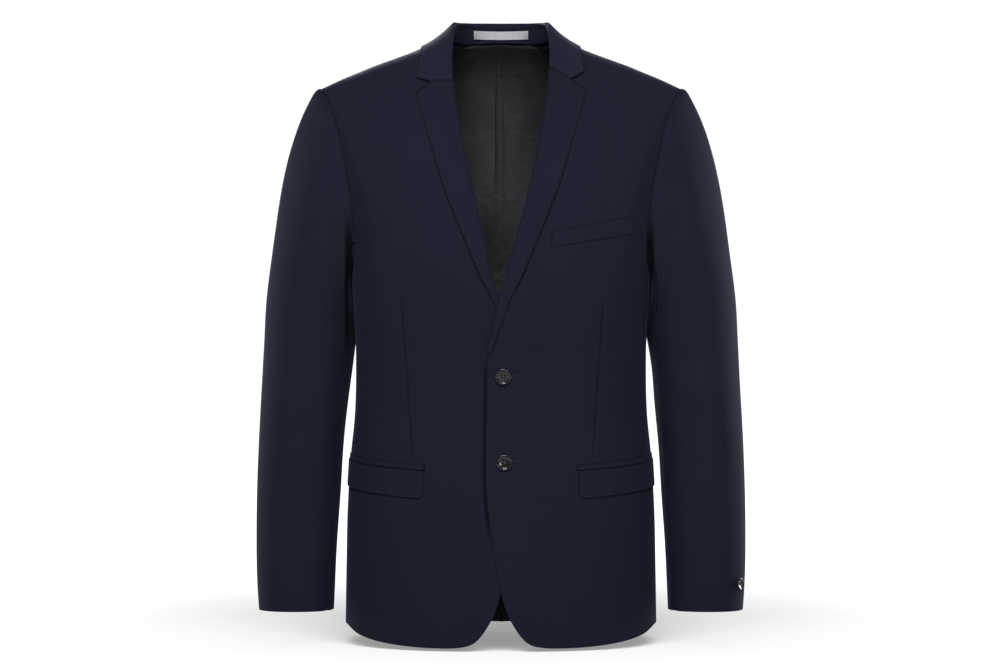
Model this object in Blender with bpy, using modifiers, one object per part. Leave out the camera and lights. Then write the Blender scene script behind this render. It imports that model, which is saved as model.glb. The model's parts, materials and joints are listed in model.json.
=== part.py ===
"""Two-button blazer in its worn shape, with no wearer.

Metres, +Z up, the front faces -Y, and the origin is at the base of the neck.
"""

import math

import bmesh
import bpy
from mathutils import Vector

MM = 0.001
CLOTH = 2.4  # wall of the fronts, back, sides and sleeves
LAPEL_CLOTH = 2.2
LINING_CLOTH = 1.2
SEAM_GAP = 0.3  # between two pieces at a seam
ARM_Z = -290.0  # height of the lowest point of the armhole
RING_POWER = 2.3  # squareness of the body's sections
FRONT_SEAM = 72.3  # angle of the front to side seam, 0 at the front centre
BACK_SEAM = 107.7
SHOULDER_REACH = 240.0
NECK_ANGLE = 15.2  # angle of the neck end of the shoulder line
POCKET_LENGTH = 62.0  # degrees of body that a flap covers
BUTTON_RADIUS = 10.0
CUFF_BUTTON_RADIUS = 7.3

# height, half width, depth to the front, depth to the back
BODY = [
    (-740.0, 191.5, 126.0, 116.0),
    (-697.0, 191.0, 126.0, 118.0),
    (-640.0, 190.2, 124.0, 120.0),
    (-585.0, 189.3, 121.0, 120.0),
    (-548.0, 187.6, 119.0, 117.0),
    (-511.0, 185.6, 117.0, 110.0),
    (-474.0, 181.6, 114.0, 103.0),
    (-436.0, 178.8, 113.0, 99.0),
    (-381.0, 178.4, 116.0, 101.0),
    (-340.0, 180.4, 122.0, 108.0),
    (-290.0, 183.6, 127.0, 116.0),
]
# angle round the body, height of the hem
HEM = [
    (0.0, -731.0),
    (25.0, -730.0),
    (45.0, -726.0),
    (62.0, -719.0),
    (80.0, -709.5),
    (100.0, -709.0),
    (130.0, -717.0),
    (180.0, -722.0),
]
# distance from the centre, height of the shoulder line
SHOULDER = [
    (0.0, 60.0),
    (40.0, 45.0),
    (62.0, 24.0),
    (75.0, 8.5),
    (97.0, -0.6),
    (119.0, -8.6),
    (140.0, -16.2),
    (160.0, -23.5),
    (177.0, -31.0),
    (196.0, -38.4),
    (212.0, -45.8),
    (222.0, -50.5),
    (240.0, -60.0),
]
# share of the way up from the armhole's lowest point, angle of its front and back edges
ARMHOLE = [
    (0.0, 90.0, 90.0),
    (0.02, 83.0, 97.0),
    (0.06, 77.0, 103.0),
    (0.11, 72.3, 107.7),
    (0.2, 69.0, 111.0),
    (0.36, 66.0, 114.0),
    (0.5, 64.5, 115.5),
    (0.65, 62.8, 117.2),
    (0.8, 62.4, 117.4),
    (0.92, 63.6, 116.2),
    (1.0, 66.0, 114.0),
]
# height, distance of the front's edge past the centre; above the top button it is the lapel's fold
EDGE = [
    (-731.0, -70.6),
    (-730.3, -56.0),
    (-728.0, -42.0),
    (-722.6, -30.0),
    (-713.0, -21.5),
    (-700.0, -13.2),
    (-685.5, -6.8),
    (-660.0, 0.5),
    (-648.0, 2.6),
    (-622.0, 7.2),
    (-592.0, 11.5),
    (-562.0, 15.0),
    (-529.0, 17.4),
    (-465.0, 16.8),
    (-414.0, 15.9),
    (-376.0, 15.4),
    (-349.0, 9.0),
    (-311.0, 1.2),
    (-293.0, -4.8),
    (-265.0, -12.4),
    (-240.0, -19.0),
    (-205.0, -28.4),
    (-174.0, -35.8),
    (-124.0, -46.2),
    (-89.0, -52.4),
    (-50.0, -57.8),
    (-30.0, -61.0),
    (-10.0, -67.0),
    (8.5, -75.0),
]
NOTCH_X = 81.3
# for each side, the heights of the gorge seam at the fold and at the notch,
# of the lapel's tip and of the collar's corner
GORGE = {1: (-34.5, -47.0, -60.6, -35.5), -1: (-49.0, -50.5, -64.3, -43.0)}
# height, distance of the lapel's outer edge from the centre
LAPEL_EDGE = [
    (-376.0, -12.2),
    (-362.0, -7.2),
    (-349.0, -2.2),
    (-322.0, 7.0),
    (-305.0, 14.0),
    (-287.0, 23.5),
    (-258.0, 35.5),
    (-213.0, 53.6),
    (-172.0, 69.2),
    (-127.0, 82.4),
    (-87.0, 94.8),
    (-62.5, 101.6),
]
# height, how far the left front stands off where it laps over the right one
LAP = [
    (-740.0, 3.1),
    (-430.0, 3.2),
    (-400.0, 4.4),
    (-378.0, 6.0),
    (-350.0, 6.2),
    (-310.0, 5.8),
    (-250.0, 3.0),
    (-190.0, 0.0),
]
# height, height of the lapel's upper layer over the front near the fold
LAPEL_RISE = [(-370.0, 2.9), (-300.0, 3.0), (-220.0, 4.2), (-120.0, 5.2), (-40.0, 5.4)]
# the collar's fold: x, y, height
COLLAR_FOLD = [
    (58.5, -80.5, -40.0),
    (61.4, -46.0, -8.0),
    (60.6, -14.0, 16.5),
    (58.6, 12.0, 32.2),
    (52.0, 44.0, 35.8),
    (32.0, 66.0, 37.5),
    (0.0, 74.0, 38.0),
]
# the collar's outer edge: x, height, front (1), shoulder line (0) or back (-1), height over the body
COLLAR_EDGE = [
    (99.4, -39.0, 1, 3.2),
    (98.8, -24.0, 1, 3.4),
    (97.6, -10.0, 1, 3.6),
    (96.0, 0.0, 0, 4.0),
    (86.0, -3.5, -1, 5.4),
    (50.0, -7.0, -1, 4.2),
    (0.0, -7.0, -1, 4.0),
]
# height, sleeve's outer side, inner side, distance of its middle behind the body's, half depth
SLEEVE = [
    (-350.0, 293.4, 181.0, 24.0, 68.0),
    (-392.0, 295.4, 185.6, 20.0, 65.5),
    (-436.0, 297.4, 191.2, 14.0, 62.0),
    (-492.0, 299.7, 196.8, 7.0, 56.0),
    (-548.0, 301.2, 199.8, 0.0, 51.5),
    (-600.0, 301.3, 203.2, -7.0, 48.0),
    (-650.0, 300.2, 205.6, -13.0, 45.0),
    (-690.5, 297.4, 207.2, -17.0, 42.5),
]
# how much further each sleeve's inner side hangs off the waist
ARM_SPACE = {1: 3.0, -1: 0.0}
# name, distance from the centre, height, how far it stands off the cloth
FRONT_BUTTONS = [
    ("front_button_upper", 2.9, -404.6, 0.75),
    ("front_button_lower", 4.0, -508.6, 0.15),
]
LOWER_ROWS = [0.0, 0.03, 0.08, 0.15, 0.23, 0.32, 0.41, 0.5, 0.59, 0.68, 0.755, 0.8, 0.835, 0.88, 0.94]
UPPER_ROWS = [0.2, 0.383, 0.556, 0.707, 0.831, 0.924, 0.981, 1.0]
FRONT_COLUMNS = [0.0, 0.03, 0.07, 0.12, 0.18, 0.26, 0.36, 0.47, 0.58, 0.69, 0.8, 0.9, 1.0]
SIDE_COLUMNS = [72.3, 77.0, 83.0, 90.0, 97.0, 103.0, 107.7]
BACK_COLUMNS = [0.0, 0.08, 0.16, 0.232, 0.36, 0.5, 0.64, 0.77, 0.89, 1.0]
COLLAR_STEPS = [0.0, 0.5, 1.0, 1.6, 2.3, 3.0, 3.5, 4.0, 4.5, 5.0, 5.5, 6.0]
# section of the collar's fold: distance from the fold, depth under the upper layer
COLLAR_ROLL = [(5.5, 4.1), (2.8, 4.0), (0.6, 3.3), (0.0, 2.0), (0.6, 0.7), (3.0, 0.0)]
SLEEVE_HEAD_ROWS = [0.0, 0.05, 0.13, 0.25, 0.4, 0.56, 0.72, 0.87]
NAVY = (0.014, 0.0165, 0.028)
LINING = (0.021, 0.020, 0.024)
LABEL = (0.36, 0.36, 0.38)
BUTTON = (0.010, 0.010, 0.014)


def table_at(table, key, column=1):
    """A smooth curve through one column of a table, whose first column rises or falls."""
    if table[0][0] > table[-1][0]:
        table = table[::-1]
    if key <= table[0][0]:
        return table[0][column]
    if key >= table[-1][0]:
        return table[-1][column]
    index = max(i for i in range(len(table) - 1) if table[i][0] <= key)

    def slope(i):
        if i in (0, len(table) - 1):
            near = 1 if i == 0 else i
            return (table[near][column] - table[near - 1][column]) / (table[near][0] - table[near - 1][0])
        before = (table[i][column] - table[i - 1][column]) / (table[i][0] - table[i - 1][0])
        after = (table[i + 1][column] - table[i][column]) / (table[i + 1][0] - table[i][0])
        return 0.0 if before * after <= 0 else 2.0 * before * after / (before + after)

    low, high = table[index], table[index + 1]
    span = high[0] - low[0]
    t = (key - low[0]) / span
    return hermite(low[column], span * slope(index), high[column], span * slope(index + 1), t)


def hermite(start, leave, end, arrive, t):
    """A cubic from start to end with the slopes leave and arrive."""
    bend = (t**3 - 2 * t**2 + t) * leave + (t**3 - t**2) * arrive
    return (2 * t**3 - 3 * t**2 + 1) * start + (3 * t**2 - 2 * t**3) * end + bend


def lerp(a, b, t):
    return a + (b - a) * t


def ease(a, b, value):
    t = min(1.0, max(0.0, (value - a) / (b - a)))
    return t * t * (3.0 - 2.0 * t)


def hump(value, middle, width):
    return math.exp(-(((value - middle) / width) ** 2))


def shaped(value):
    return math.copysign(abs(value) ** (2.0 / RING_POWER), value)


def ring_point(angle, z):
    """A point of the body below the armholes."""
    a = math.radians(angle)
    depth = table_at(BODY, z, 2 if abs(angle) < 90.0 else 3)
    return Vector((table_at(BODY, z) * shaped(math.sin(a)), -depth * shaped(math.cos(a)), z))


def top_z(angle):
    return table_at(SHOULDER, abs(SHOULDER_REACH * shaped(math.sin(math.radians(angle)))))


def upper_point(angle, rise):
    """A point above the armholes' level. Rise is 1 on the shoulder line."""
    a = math.radians(angle)
    rise = min(1.0, max(0.0, rise))
    _, width, front, back = BODY[-1]
    width = lerp(width, SHOULDER_REACH, rise**1.5)
    if abs(angle) < 90.0:
        y = -front * shaped(math.cos(a)) * math.sqrt(1.0 - rise**2.0)
    else:
        y = -back * shaped(math.cos(a)) * (1.0 - rise**2.6) ** (1.0 / 2.2)
    y += 8.0 * rise**2 + math.copysign(0.5, abs(angle) - 90.0) * ease(0.97, 1.0, rise)
    return Vector((width * shaped(math.sin(a)), y, lerp(ARM_Z, top_z(angle), rise)))


def body_point(angle, z):
    if z <= ARM_Z:
        return ring_point(angle, z)
    return upper_point(angle, (z - ARM_Z) / (top_z(angle) - ARM_Z))


def body_normal(angle, z):
    z = min(z, top_z(angle) - 3.0) if z > ARM_Z else z
    across = body_point(angle + 0.4, z) - body_point(angle - 0.4, z)
    up = body_point(angle, z + 1.0) - body_point(angle, z - 1.0)
    return across.cross(up).normalized()


def angle_of(x, z, back=False):
    """The angle at which the body has this x at this height."""
    low, high = 0.0, 89.5
    for _ in range(30):
        middle = (low + high) / 2.0
        trial = 180.0 - middle if back else middle
        if body_point(trial, z).x < abs(x):
            low = middle
        else:
            high = middle
    found = 180.0 - low if back else low
    return math.copysign(found, x)


def lap_height(x, z):
    """How far the wearer's left front stands off at this distance from the centre."""
    return table_at(LAP, z) * (1.0 - ease(20.0, 62.0, x))


def front_setback(z):
    """The cloth of the front ends this far short of the fold of its lapel."""
    return 4.6 * lapel_wrap(z)


def lapel_wrap(z):
    """How far the lapel turns round the front's edge: not at all at its foot, fully further up."""
    return ease(-376.0, -345.0, z)


def front_edge_x(z):
    return -table_at(EDGE, z) + front_setback(z)


def hem_z(angle):
    return table_at(HEM, abs(angle))


def front_hem_z(angle):
    """The hem with the front's rounded corner."""
    low, high = -731.0, -700.0
    x = max(13.2, min(70.0, ring_point(abs(angle), -731.0).x))
    for _ in range(24):
        middle = (low + high) / 2.0
        if -table_at(EDGE, middle) > x:
            low = middle
        else:
            high = middle
    return hem_z(angle) + (low + 731.0 if x < 69.9 else 0.0)


def edge_angle(z):
    x = front_edge_x(z)
    return angle_of(x, z) if abs(x) > 0.01 else 0.0


def folds(angle, z, side):
    """Shallow hollows of a worn front and back, outwards positive."""
    a = abs(angle)
    depth = -1.6 * hump(a, 46.0, 15.0) * hump(z, -415.0, 60.0)
    depth += 1.4 * hump(a, 30.0, 16.0) * hump(z, -235.0, 60.0)
    depth += -1.3 * hump(a, 58.0, 5.0) * hump(z, -190.0 - 6.0 * side, 70.0)
    depth += 1.2 * hump(a, 62.0, 9.0) * hump(z, -640.0, 60.0)
    depth += -1.8 * hump(a, 152.0, 14.0) * hump(z, -430.0, 70.0)
    depth += 1.6 * hump(a, 140.0, 12.0) * hump(z, -640.0, 80.0)
    depth += -1.0 * hump(a, 128.0, 6.0) * hump(z, -215.0, 70.0)
    return depth


def cloth_point(angle, z, side, lift=0.0):
    """A point of the cloth's middle layer on one side (1 is the wearer's left), moved out by lift."""
    place = body_point(angle, z)
    normal = body_normal(angle, z)
    lift += folds(angle, z, side)
    if side > 0 and abs(angle) < 60.0:
        lift += lap_height(place.x, z)
    place = place + normal * lift
    return Vector((place.x * side, place.y, place.z))


def front_rows(side):
    """The front from hem to shoulder seam. Each row runs from its edge to the side seam or armhole."""
    rows = []
    half_gap = math.degrees(SEAM_GAP * 0.7 / 105.0)
    corner = angle_of(13.2, -700.0)
    levels = [(share, share) for share in LOWER_ROWS] + [(1.06, 1.11)]
    levels += [(1 + rise, 1 + rise) for rise in UPPER_ROWS]
    for left_level, right_level in levels:
        angle = corner
        for _ in range(12):
            z = front_level_z(max(angle, corner), left_level)
            angle = edge_angle(z) if left_level > 0.0 else corner
        left = angle
        right = FRONT_SEAM - half_gap
        if right_level > 1.0:
            right = table_at(ARMHOLE, right_level - 1.0) - half_gap
        row = []
        for share in FRONT_COLUMNS:
            angle = lerp(left, right, share)
            level = lerp(left_level, right_level, share)
            z = front_level_z(max(angle, corner) if level < 1.0 else angle, level)
            row.append(cloth_point(angle, z, side))
        rows.append(row)
    return rows


def front_level_z(angle, level):
    if level <= 1.0:
        return lerp(front_hem_z(angle), ARM_Z, level)
    return lerp(ARM_Z, top_z(angle), level - 1.0) if level < 2.0 else top_z(angle)


def side_rows(side):
    rows = []
    half_gap = math.degrees(SEAM_GAP * 0.7 / 105.0)
    for level in LOWER_ROWS + [None]:
        row = []
        for angle in SIDE_COLUMNS:
            if level is None:
                rise = side_top_rise(angle)
                z = lerp(ARM_Z, top_z(angle), rise)
            else:
                z = lerp(hem_z(angle) if angle > 73.0 else front_hem_z(angle), ARM_Z, level)
            if angle == SIDE_COLUMNS[0]:
                angle += half_gap
            if angle == SIDE_COLUMNS[-1]:
                angle -= half_gap
            row.append(cloth_point(angle, z, side))
        rows.append(row)
    return rows


def side_top_rise(angle):
    """How high the armhole's edge is over the side panel."""
    for low, high in zip(ARMHOLE[:3], ARMHOLE[1:4]):
        for column in (1, 2):
            a, b = low[column], high[column]
            if min(a, b) <= angle <= max(a, b) and a != b:
                return lerp(low[0], high[0], (angle - a) / (b - a))
    return 0.0


def back_top_level(angle):
    """The back's top edge: the neck seam, then the shoulder line."""
    from_centre = 180.0 - abs(angle)
    if from_centre >= NECK_ANGLE:
        return 1.0
    neck_z = lerp(12.0, top_z(NECK_ANGLE), ease(0.0, NECK_ANGLE, from_centre))
    return min(1.0, (neck_z - ARM_Z) / (top_z(angle) - ARM_Z))


def back_rows(side):
    rows = []
    half_gap = math.degrees(SEAM_GAP * 0.7 / 105.0)
    levels = [(share, share) for share in LOWER_ROWS] + [(1.06, 1.11)]
    levels += [(1 + rise, 1 + rise) for rise in UPPER_ROWS]
    for centre_level, side_level in levels:
        right = BACK_SEAM + half_gap
        if side_level > 1.0:
            right = table_at(ARMHOLE, side_level - 1.0, 2) + half_gap
        row = []
        for share in BACK_COLUMNS:
            angle = lerp(179.98, right, share)
            level = lerp(centre_level, side_level, share)
            row.append(cloth_point(angle, back_level_z(angle, level), side))
        rows.append(row)
    return rows


def armhole_points(side):
    """The armhole's edge from its top, down the front, under the arm and up the back, with ring angles."""
    points = []
    front = [(1.0 + r, table_at(ARMHOLE, r, 1)) for r in reversed(UPPER_ROWS)]
    under = [(1.0 + side_top_rise(angle), angle) for angle in SIDE_COLUMNS]
    back = [(1.0 + r, table_at(ARMHOLE, r, 2)) for r in UPPER_ROWS[:-1]]
    for level, angle in front + under + back:
        rise = level - 1.0
        around = math.degrees(math.acos(max(-1.0, min(1.0, 2.0 * rise - 1.0))))
        if angle > 90.0:
            around = 360.0 - around
        z = lerp(ARM_Z, top_z(angle), min(rise, 0.9999))
        points.append((cloth_point(angle, z, side), around, rise))
    return points


def sleeve_ring(around, z, side):
    outer = table_at(SLEEVE, z, 1)
    inner = table_at(SLEEVE, z, 2) + ARM_SPACE[side] * hump(z, -393.0, 34.0)
    behind, depth = table_at(SLEEVE, z, 3), table_at(SLEEVE, z, 4)
    a = math.radians(around)
    x = (outer + inner) / 2.0 + (outer - inner) / 2.0 * math.copysign(abs(math.cos(a)) ** 0.92, math.cos(a))
    y = behind - depth * math.copysign(abs(math.sin(a)) ** 0.92, math.sin(a))
    dent = -2.6 * hump(around, 100.0, 22.0) * hump(z + 0.35 * (x - 240.0), -488.0, 12.0)
    dent += -2.2 * hump(around, 75.0, 20.0) * hump(z - 0.30 * (x - 240.0), -528.0, 11.0)
    dent += 1.8 * hump(around, 90.0, 30.0) * hump(z + 0.3 * (x - 240.0), -508.0, 10.0)
    dent += -1.5 * hump(around, 250.0, 30.0) * hump(z, -470.0, 30.0)
    centre_x = (outer + inner) / 2.0
    away = Vector((x - centre_x, y - behind, 0.0)).normalized()
    return Vector((side * (x + away.x * dent), y + away.y * dent, z))


def sleeve_columns(side):
    """Every column of the whole sleeve, from the armhole down to the cuff, as (ring angle, points)."""
    columns = []
    first = SLEEVE[0][0]
    for start, around, rise in armhole_points(side):
        low = 1.0 - rise
        a = math.radians(around)
        end = sleeve_ring(around, first, side)
        fall = start.z - end.z
        forward = -16.0 * math.sin(a) * abs(math.sin(a))
        leave = Vector((side * lerp(112.0, 26.0, low), forward, lerp(-62.0, 6.0, low**2)))
        arrive = Vector((0.0, 0.0, -fall))
        under = low**3
        space = 0.5 + abs(math.sin(a)) * (0.95 + 0.45 * low)
        start = start + leave.normalized() * space + Vector((0.0, 0.0, 3.6 * under))
        column = []
        for t in SLEEVE_HEAD_ROWS:
            place = hermite(start, leave, end, arrive, t)
            puff = 2.4 * hump(t, 0.06, 0.05) * rise * (1.0 if t > 0 else 0.0)
            place = place + Vector((side * 0.4, -math.sin(a) * 0.5, 0.9)) * puff
            place.x -= side * 2.4 * hump(place.z, -245.0, 62.0) * max(0.0, math.cos(a))
            column.append(place)
        for z, *_ in SLEEVE:
            column.append(sleeve_ring(around, z, side))
        columns.append((around, column))
    return columns


def smooth_sleeve_rows(columns, start, end):
    """The same, with each row's points on a curve through the columns and not on its chords."""
    rows = []
    count = len(columns[0][1])
    inner = [a for a, _ in columns] + [a - 360.0 for a, _ in columns]
    inner = sorted(a for a in inner if start[0] + 6.0 < a < end[0] - 6.0)
    shares = [0.0] + [(a - start[0]) / (end[0] - start[0]) for a in inner] + [1.0]
    loop = [(a - 360.0, c) for a, c in columns] + columns + [(a + 360.0, c) for a, c in columns]
    for row in range(count):
        tables = [[(a, c[row][k]) for a, c in loop] for k in range(3)]
        places = []
        for share in shares:
            around = lerp(start[row], end[row], share)
            places.append(Vector([spline_at(table, around) for table in tables]))
        rows.append(places)
    return rows


def spline_at(table, key):
    """A Catmull-Rom curve through a two-column table."""
    index = max(i for i in range(1, len(table) - 2) if table[i][0] <= key)
    (k0, v0), (k1, v1), (k2, v2), (k3, v3) = table[index - 1 : index + 3]
    t = (key - k1) / (k2 - k1)
    m1 = (v2 - v0) / (k2 - k0) * (k2 - k1)
    m2 = (v3 - v1) / (k3 - k1) * (k2 - k1)
    return hermite(v1, m1, v2, m2, t)


def over_front(x, z, lift, side):
    """A point over the front at this distance from the centre and height."""
    angle = angle_of(x, z) if abs(x) > 0.01 else 0.0
    return cloth_point(angle, z, side, lift)


def lapel_rows(side):
    """The lapel from the top button up to the gorge. Each row runs from under the fold to the edge."""
    rows = []
    tip_z = GORGE[side][2]
    heights = [-375.5, -362.0, -349.0, -330.0, -308.0, -285.0, -258.0, -213.0, -172.0, -130.0, -92.0, tip_z]
    for index, low in enumerate(heights):
        share_up = index / (len(heights) - 1)
        inner_z = low + (GORGE[side][0] - tip_z) * share_up**3 if low > -300.0 else low
        fold_x = min(58.0, -table_at(EDGE, inner_z))
        outer_x = table_at(LAPEL_EDGE, low)
        rise = table_at(LAPEL_RISE, inner_z)
        row = []
        wrap = lapel_wrap(inner_z)
        reach = min(3.0, rise)
        roll = ((reach, 0.0, 0.0), (0.6, 0.2, 0.22), (0.0, 0.4, 0.5), (0.6, 1.0, 0.8), (reach, reach, 1.0))
        for turned, flat, share in roll:
            e = lerp(flat, turned, wrap)
            z = gorge_z(fold_x + e, side) if index == len(heights) - 1 else inner_z
            row.append(over_front(fold_x + e, z, rise * lerp(1.0, share, wrap), side))
        width = outer_x - fold_x
        for share in (0.25, 0.45, 0.62, 0.8, 0.91, 1.0):
            x = fold_x + reach + (width - reach) * share
            z = lerp(inner_z, low, share)
            if index == len(heights) - 1:
                z = gorge_z(x, side)
            outer_lift = 2.9
            belly = 0.7 * math.sin(math.pi * share) * ease(-320.0, -200.0, z)
            lift = lerp(rise, outer_lift, share**0.7) + belly
            row.append(over_front(x, z, lift, side))
        rows.append(row)
    return rows


def gorge_z(x, side):
    """The lapel's top edge: along the gorge seam to the notch, then up or down to the lapel's tip."""
    fold, notch, tip, _ = GORGE[side]
    if x < NOTCH_X:
        return lerp(fold, notch, (x - 58.0) / (NOTCH_X - 58.0))
    return lerp(notch, tip, (x - NOTCH_X) / (101.6 - NOTCH_X))


def collar_front_z(x, side):
    """The collar's front end: along the gorge seam to the notch, then to the collar's corner."""
    _, notch, _, corner = GORGE[side]
    if x < NOTCH_X:
        return gorge_z(x, side) + 1.0
    return lerp(notch + 1.0, corner, (x - NOTCH_X) / (99.4 - NOTCH_X))


def catmull(values, step):
    """A smooth curve through evenly spaced values."""
    index = min(int(step), len(values) - 2)
    t = step - index
    v1, v2 = values[index], values[index + 1]
    v0 = values[index - 1] if index else 2 * v1 - v2
    v3 = values[index + 2] if index + 2 < len(values) else 2 * v2 - v1
    m1, m2 = (v2 - v0) / 2.0, (v3 - v1) / 2.0
    return hermite(v1, m1, v2, m2, t)


def curve_at(places, step):
    return Vector([catmull([place[k] for place in places], step) for k in range(3)])


def collar_edge_place(x, z, side, lift):
    """A point of the collar's outer edge, on the wearer's left."""
    if side > 0:
        return over_front(x, z, lift, 1)
    if side == 0:
        angle = angle_of(x, table_at(SHOULDER, x) - 0.5)
        return body_point(angle, top_z(angle)) + Vector((0.0, 0.0, lift))
    z = min(z, table_at(SHOULDER, x) - 0.4)
    angle = angle_of(x, z, back=True) if x > 0.5 else 180.0
    return cloth_point(angle, z, 1, lift)


def collar_half(side):
    """The leaf from one gorge to the centre back. Each row runs from under the fold to the outer edge."""
    edges = [collar_edge_place(*row) for row in COLLAR_EDGE]
    corner_x, _, _, corner_lift = COLLAR_EDGE[0]
    corner_z = GORGE[side][3]
    edges[0] = collar_edge_place(corner_x, corner_z, 1, corner_lift)
    next_z = (corner_z + COLLAR_EDGE[2][1]) / 2.0
    edges[1] = collar_edge_place(COLLAR_EDGE[1][0], next_z, 1, COLLAR_EDGE[1][3])
    folds_line = [Vector(row) for row in COLLAR_FOLD]
    folds_line[0] = over_front(58.0, GORGE[side][0] + 1.0, 5.2, 1)
    half = []
    for step in COLLAR_STEPS:
        fold, edge = curve_at(folds_line, step), curve_at(edges, step)
        if step == COLLAR_STEPS[-1]:
            fold.x = edge.x = 0.0
        along = (edge - fold).normalized()
        inward = Vector((-fold.x, 0.0 if step < 2.5 else 20.0 - fold.y, 0.0)).normalized()
        out = -along.cross(inward).cross(along).normalized()
        row = []
        for e, depth in COLLAR_ROLL:
            if step == 0.0:
                x = 58.0 + min(e, 3.0)
                row.append(over_front(x, collar_front_z(x, side), 5.2 - depth, 1))
            else:
                row.append(fold + along * e - out * depth)
        start = fold + along * 3.0
        for share in (0.22, 0.44, 0.64, 0.82, 1.0):
            belly = lerp(2.2, -2.2, hump(step, 2.9, 0.9)) * math.sin(math.pi * share)
            place = start.lerp(edge, share) + out * belly
            if step == 0.0:
                place = over_front(place.x, collar_front_z(place.x, side), lerp(5.2, corner_lift, share), 1)
            row.append(place)
        half.append([Vector((p.x * side, p.y, p.z)) for p in row])
    return half


def collar_rows():
    return collar_half(-1)[:-1] + collar_half(1)[::-1]


def neck_seam(step):
    """The body's neck edge beside a collar station, from the shoulder line (3) to the centre back (6)."""
    places = [Vector((68.0, -20.0, -6.0))]
    for from_centre in (NECK_ANGLE, 9.0, 4.2, 0.0):
        angle = 180.0 - from_centre
        z = lerp(ARM_Z, top_z(angle), back_top_level(angle))
        places.append(body_point(angle, min(z, top_z(angle) - 0.05)))
    return curve_at(places, max(0.0, step - 2.0))


def stand_rows(collar):
    """The inside band between the neck seam and the collar's fold."""
    half = []
    for index, step in enumerate(COLLAR_STEPS):
        if step < 2.3:
            continue
        row = collar[index]
        top = Vector((-row[0].x, row[0].y, row[0].z))
        seam = neck_seam(step)
        inward = Vector((-seam.x, 20.0 - seam.y, 0.0)).normalized()
        low = seam + inward * 3.0 + Vector((0.0, 0.0, 1.6))
        reach = (low - top).normalized()
        top = top + reach * (SEAM_GAP + 1.1)
        if step == COLLAR_STEPS[-1]:
            top.x = low.x = 0.0
        half.append([low.lerp(top, share) for share in (0.0, 0.5, 1.0)])
    mirrored = [[Vector((-p.x, p.y, p.z)) for p in row] for row in half[:-1]]
    return mirrored + half[::-1]


def label_rows(stand):
    """The bare label on the inside of the stand."""
    rows = []
    for z in (16.8, 22.7, 28.6):
        row = []
        for x in (-33.5, -25.0, -16.0, -8.0, 0.0, 8.0, 16.0, 25.0, 33.5):
            line = []
            for low, _, high in stand:
                share = (z - low.z) / (high.z - low.z)
                line.append(low.lerp(high, share))
            for first, second in zip(line[:-1], line[1:]):
                if first.x <= x <= second.x:
                    y = lerp(first.y, second.y, (x - first.x) / (second.x - first.x))
            row.append(Vector((x, y - 2.3 - 0.5 * (abs(x) / 33.5) ** 2, z)))
        rows.append(row)
    return rows


def lining_rows(side):
    """The back lining, inside the back. The wearer's left piece carries the strip in the pleat."""
    levels = [(share, share) for share in LOWER_ROWS[1:]] + [(1.06, 1.06)]
    levels += [(1.0 + rise, 1.0 + rise) for rise in UPPER_ROWS[:-1] + [0.995]]
    rows = []
    for level, _ in levels:
        z = back_level_z(180.0, level)
        opened = ease(-255.0, -170.0, z) * (1.0 - ease(-42.0, -8.0, z))
        left_fold, right_fold = lerp(-2.6, -5.0, opened), lerp(0.6, 4.2, opened)
        depth = 2.9 + 1.9 * opened
        strip = 2.9 - 0.2 * opened
        row = []
        if side > 0:
            middle = (left_fold + right_fold) / 2.0
            pleat = [(left_fold + 0.2, strip), (middle, strip)]
            pleat += [(right_fold - 0.5, strip), (right_fold + 0.7, depth)]
            for x, d in pleat:
                row.append(inside_back(x, z, d))
        else:
            row.append(inside_back(left_fold - 0.2, z, depth))
        limit = lerp(136.0, 146.0, ease(-240.0, -60.0, z))
        for share in (0.12, 0.24, 0.4, 0.58, 0.78, 1.0):
            angle = lerp(180.0, limit, share)
            short = lerp(1.0, 0.86, ease(0.3, 0.65, share))
            lowered = level if level < 1.0 else 1.0 + (level - 1.0) * short
            place_z = back_level_z(angle, lowered)
            away = lerp(depth, 2.9, ease(0.1, 0.3, share)) + 2.5 * ease(-60.0, -10.0, z)
            row.append(cloth_point(angle, place_z, side, -away))
        rows.append(row)
    return rows


def back_level_z(angle, level):
    if level <= 1.0:
        return lerp(hem_z(angle), ARM_Z, level)
    return lerp(ARM_Z, top_z(angle), (level - 1.0) * back_top_level(angle))


def inside_back(x, z, depth):
    """A point inside the back at this distance from the centre, negative past it."""
    angle = angle_of(abs(x), z, back=True) if abs(x) > 0.02 else 180.0
    place = cloth_point(angle, z, 1, -depth)
    return Vector((math.copysign(place.x, x), place.y, place.z))


def patch_rows(places, side, lift, columns, lines):
    """A piece lying on the front. Places gives (x or angle, height) corners; lines are shares down it."""
    rows = []
    for down in lines:
        row = []
        for share in columns:
            angle, z = places(share, down)
            row.append(cloth_point(angle, z, side, lift(share, down) if callable(lift) else lift))
        rows.append(row)
    return rows


def flap_place(share, down):
    """The pocket flap: its rounded lower corners, and its slope down towards the front."""
    angle = lerp(26.6, 26.6 + POCKET_LENGTH, share)
    top = lerp(-519.0, -508.0, share)
    bottom = lerp(-552.5, -539.5, share)
    corner = max(0.0, 1.0 - min(share, 1.0 - share) / 0.055)
    bottom += 7.0 * (1.0 - math.sqrt(max(0.0, 1.0 - corner**2)))
    return angle, lerp(top, bottom, down)


def jet_place(share, down):
    angle = lerp(26.4, 27.4 + POCKET_LENGTH, share)
    top = lerp(-511.6, -500.4, share)
    return angle, top - 6.6 * down


def welt_place(share, down):
    x = lerp(61.0, 158.5, share)
    top = lerp(-232.5, -212.8, share)
    bottom = lerp(-250.0, -232.6, share)
    z = lerp(top, bottom, down)
    return angle_of(x, z), z


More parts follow.
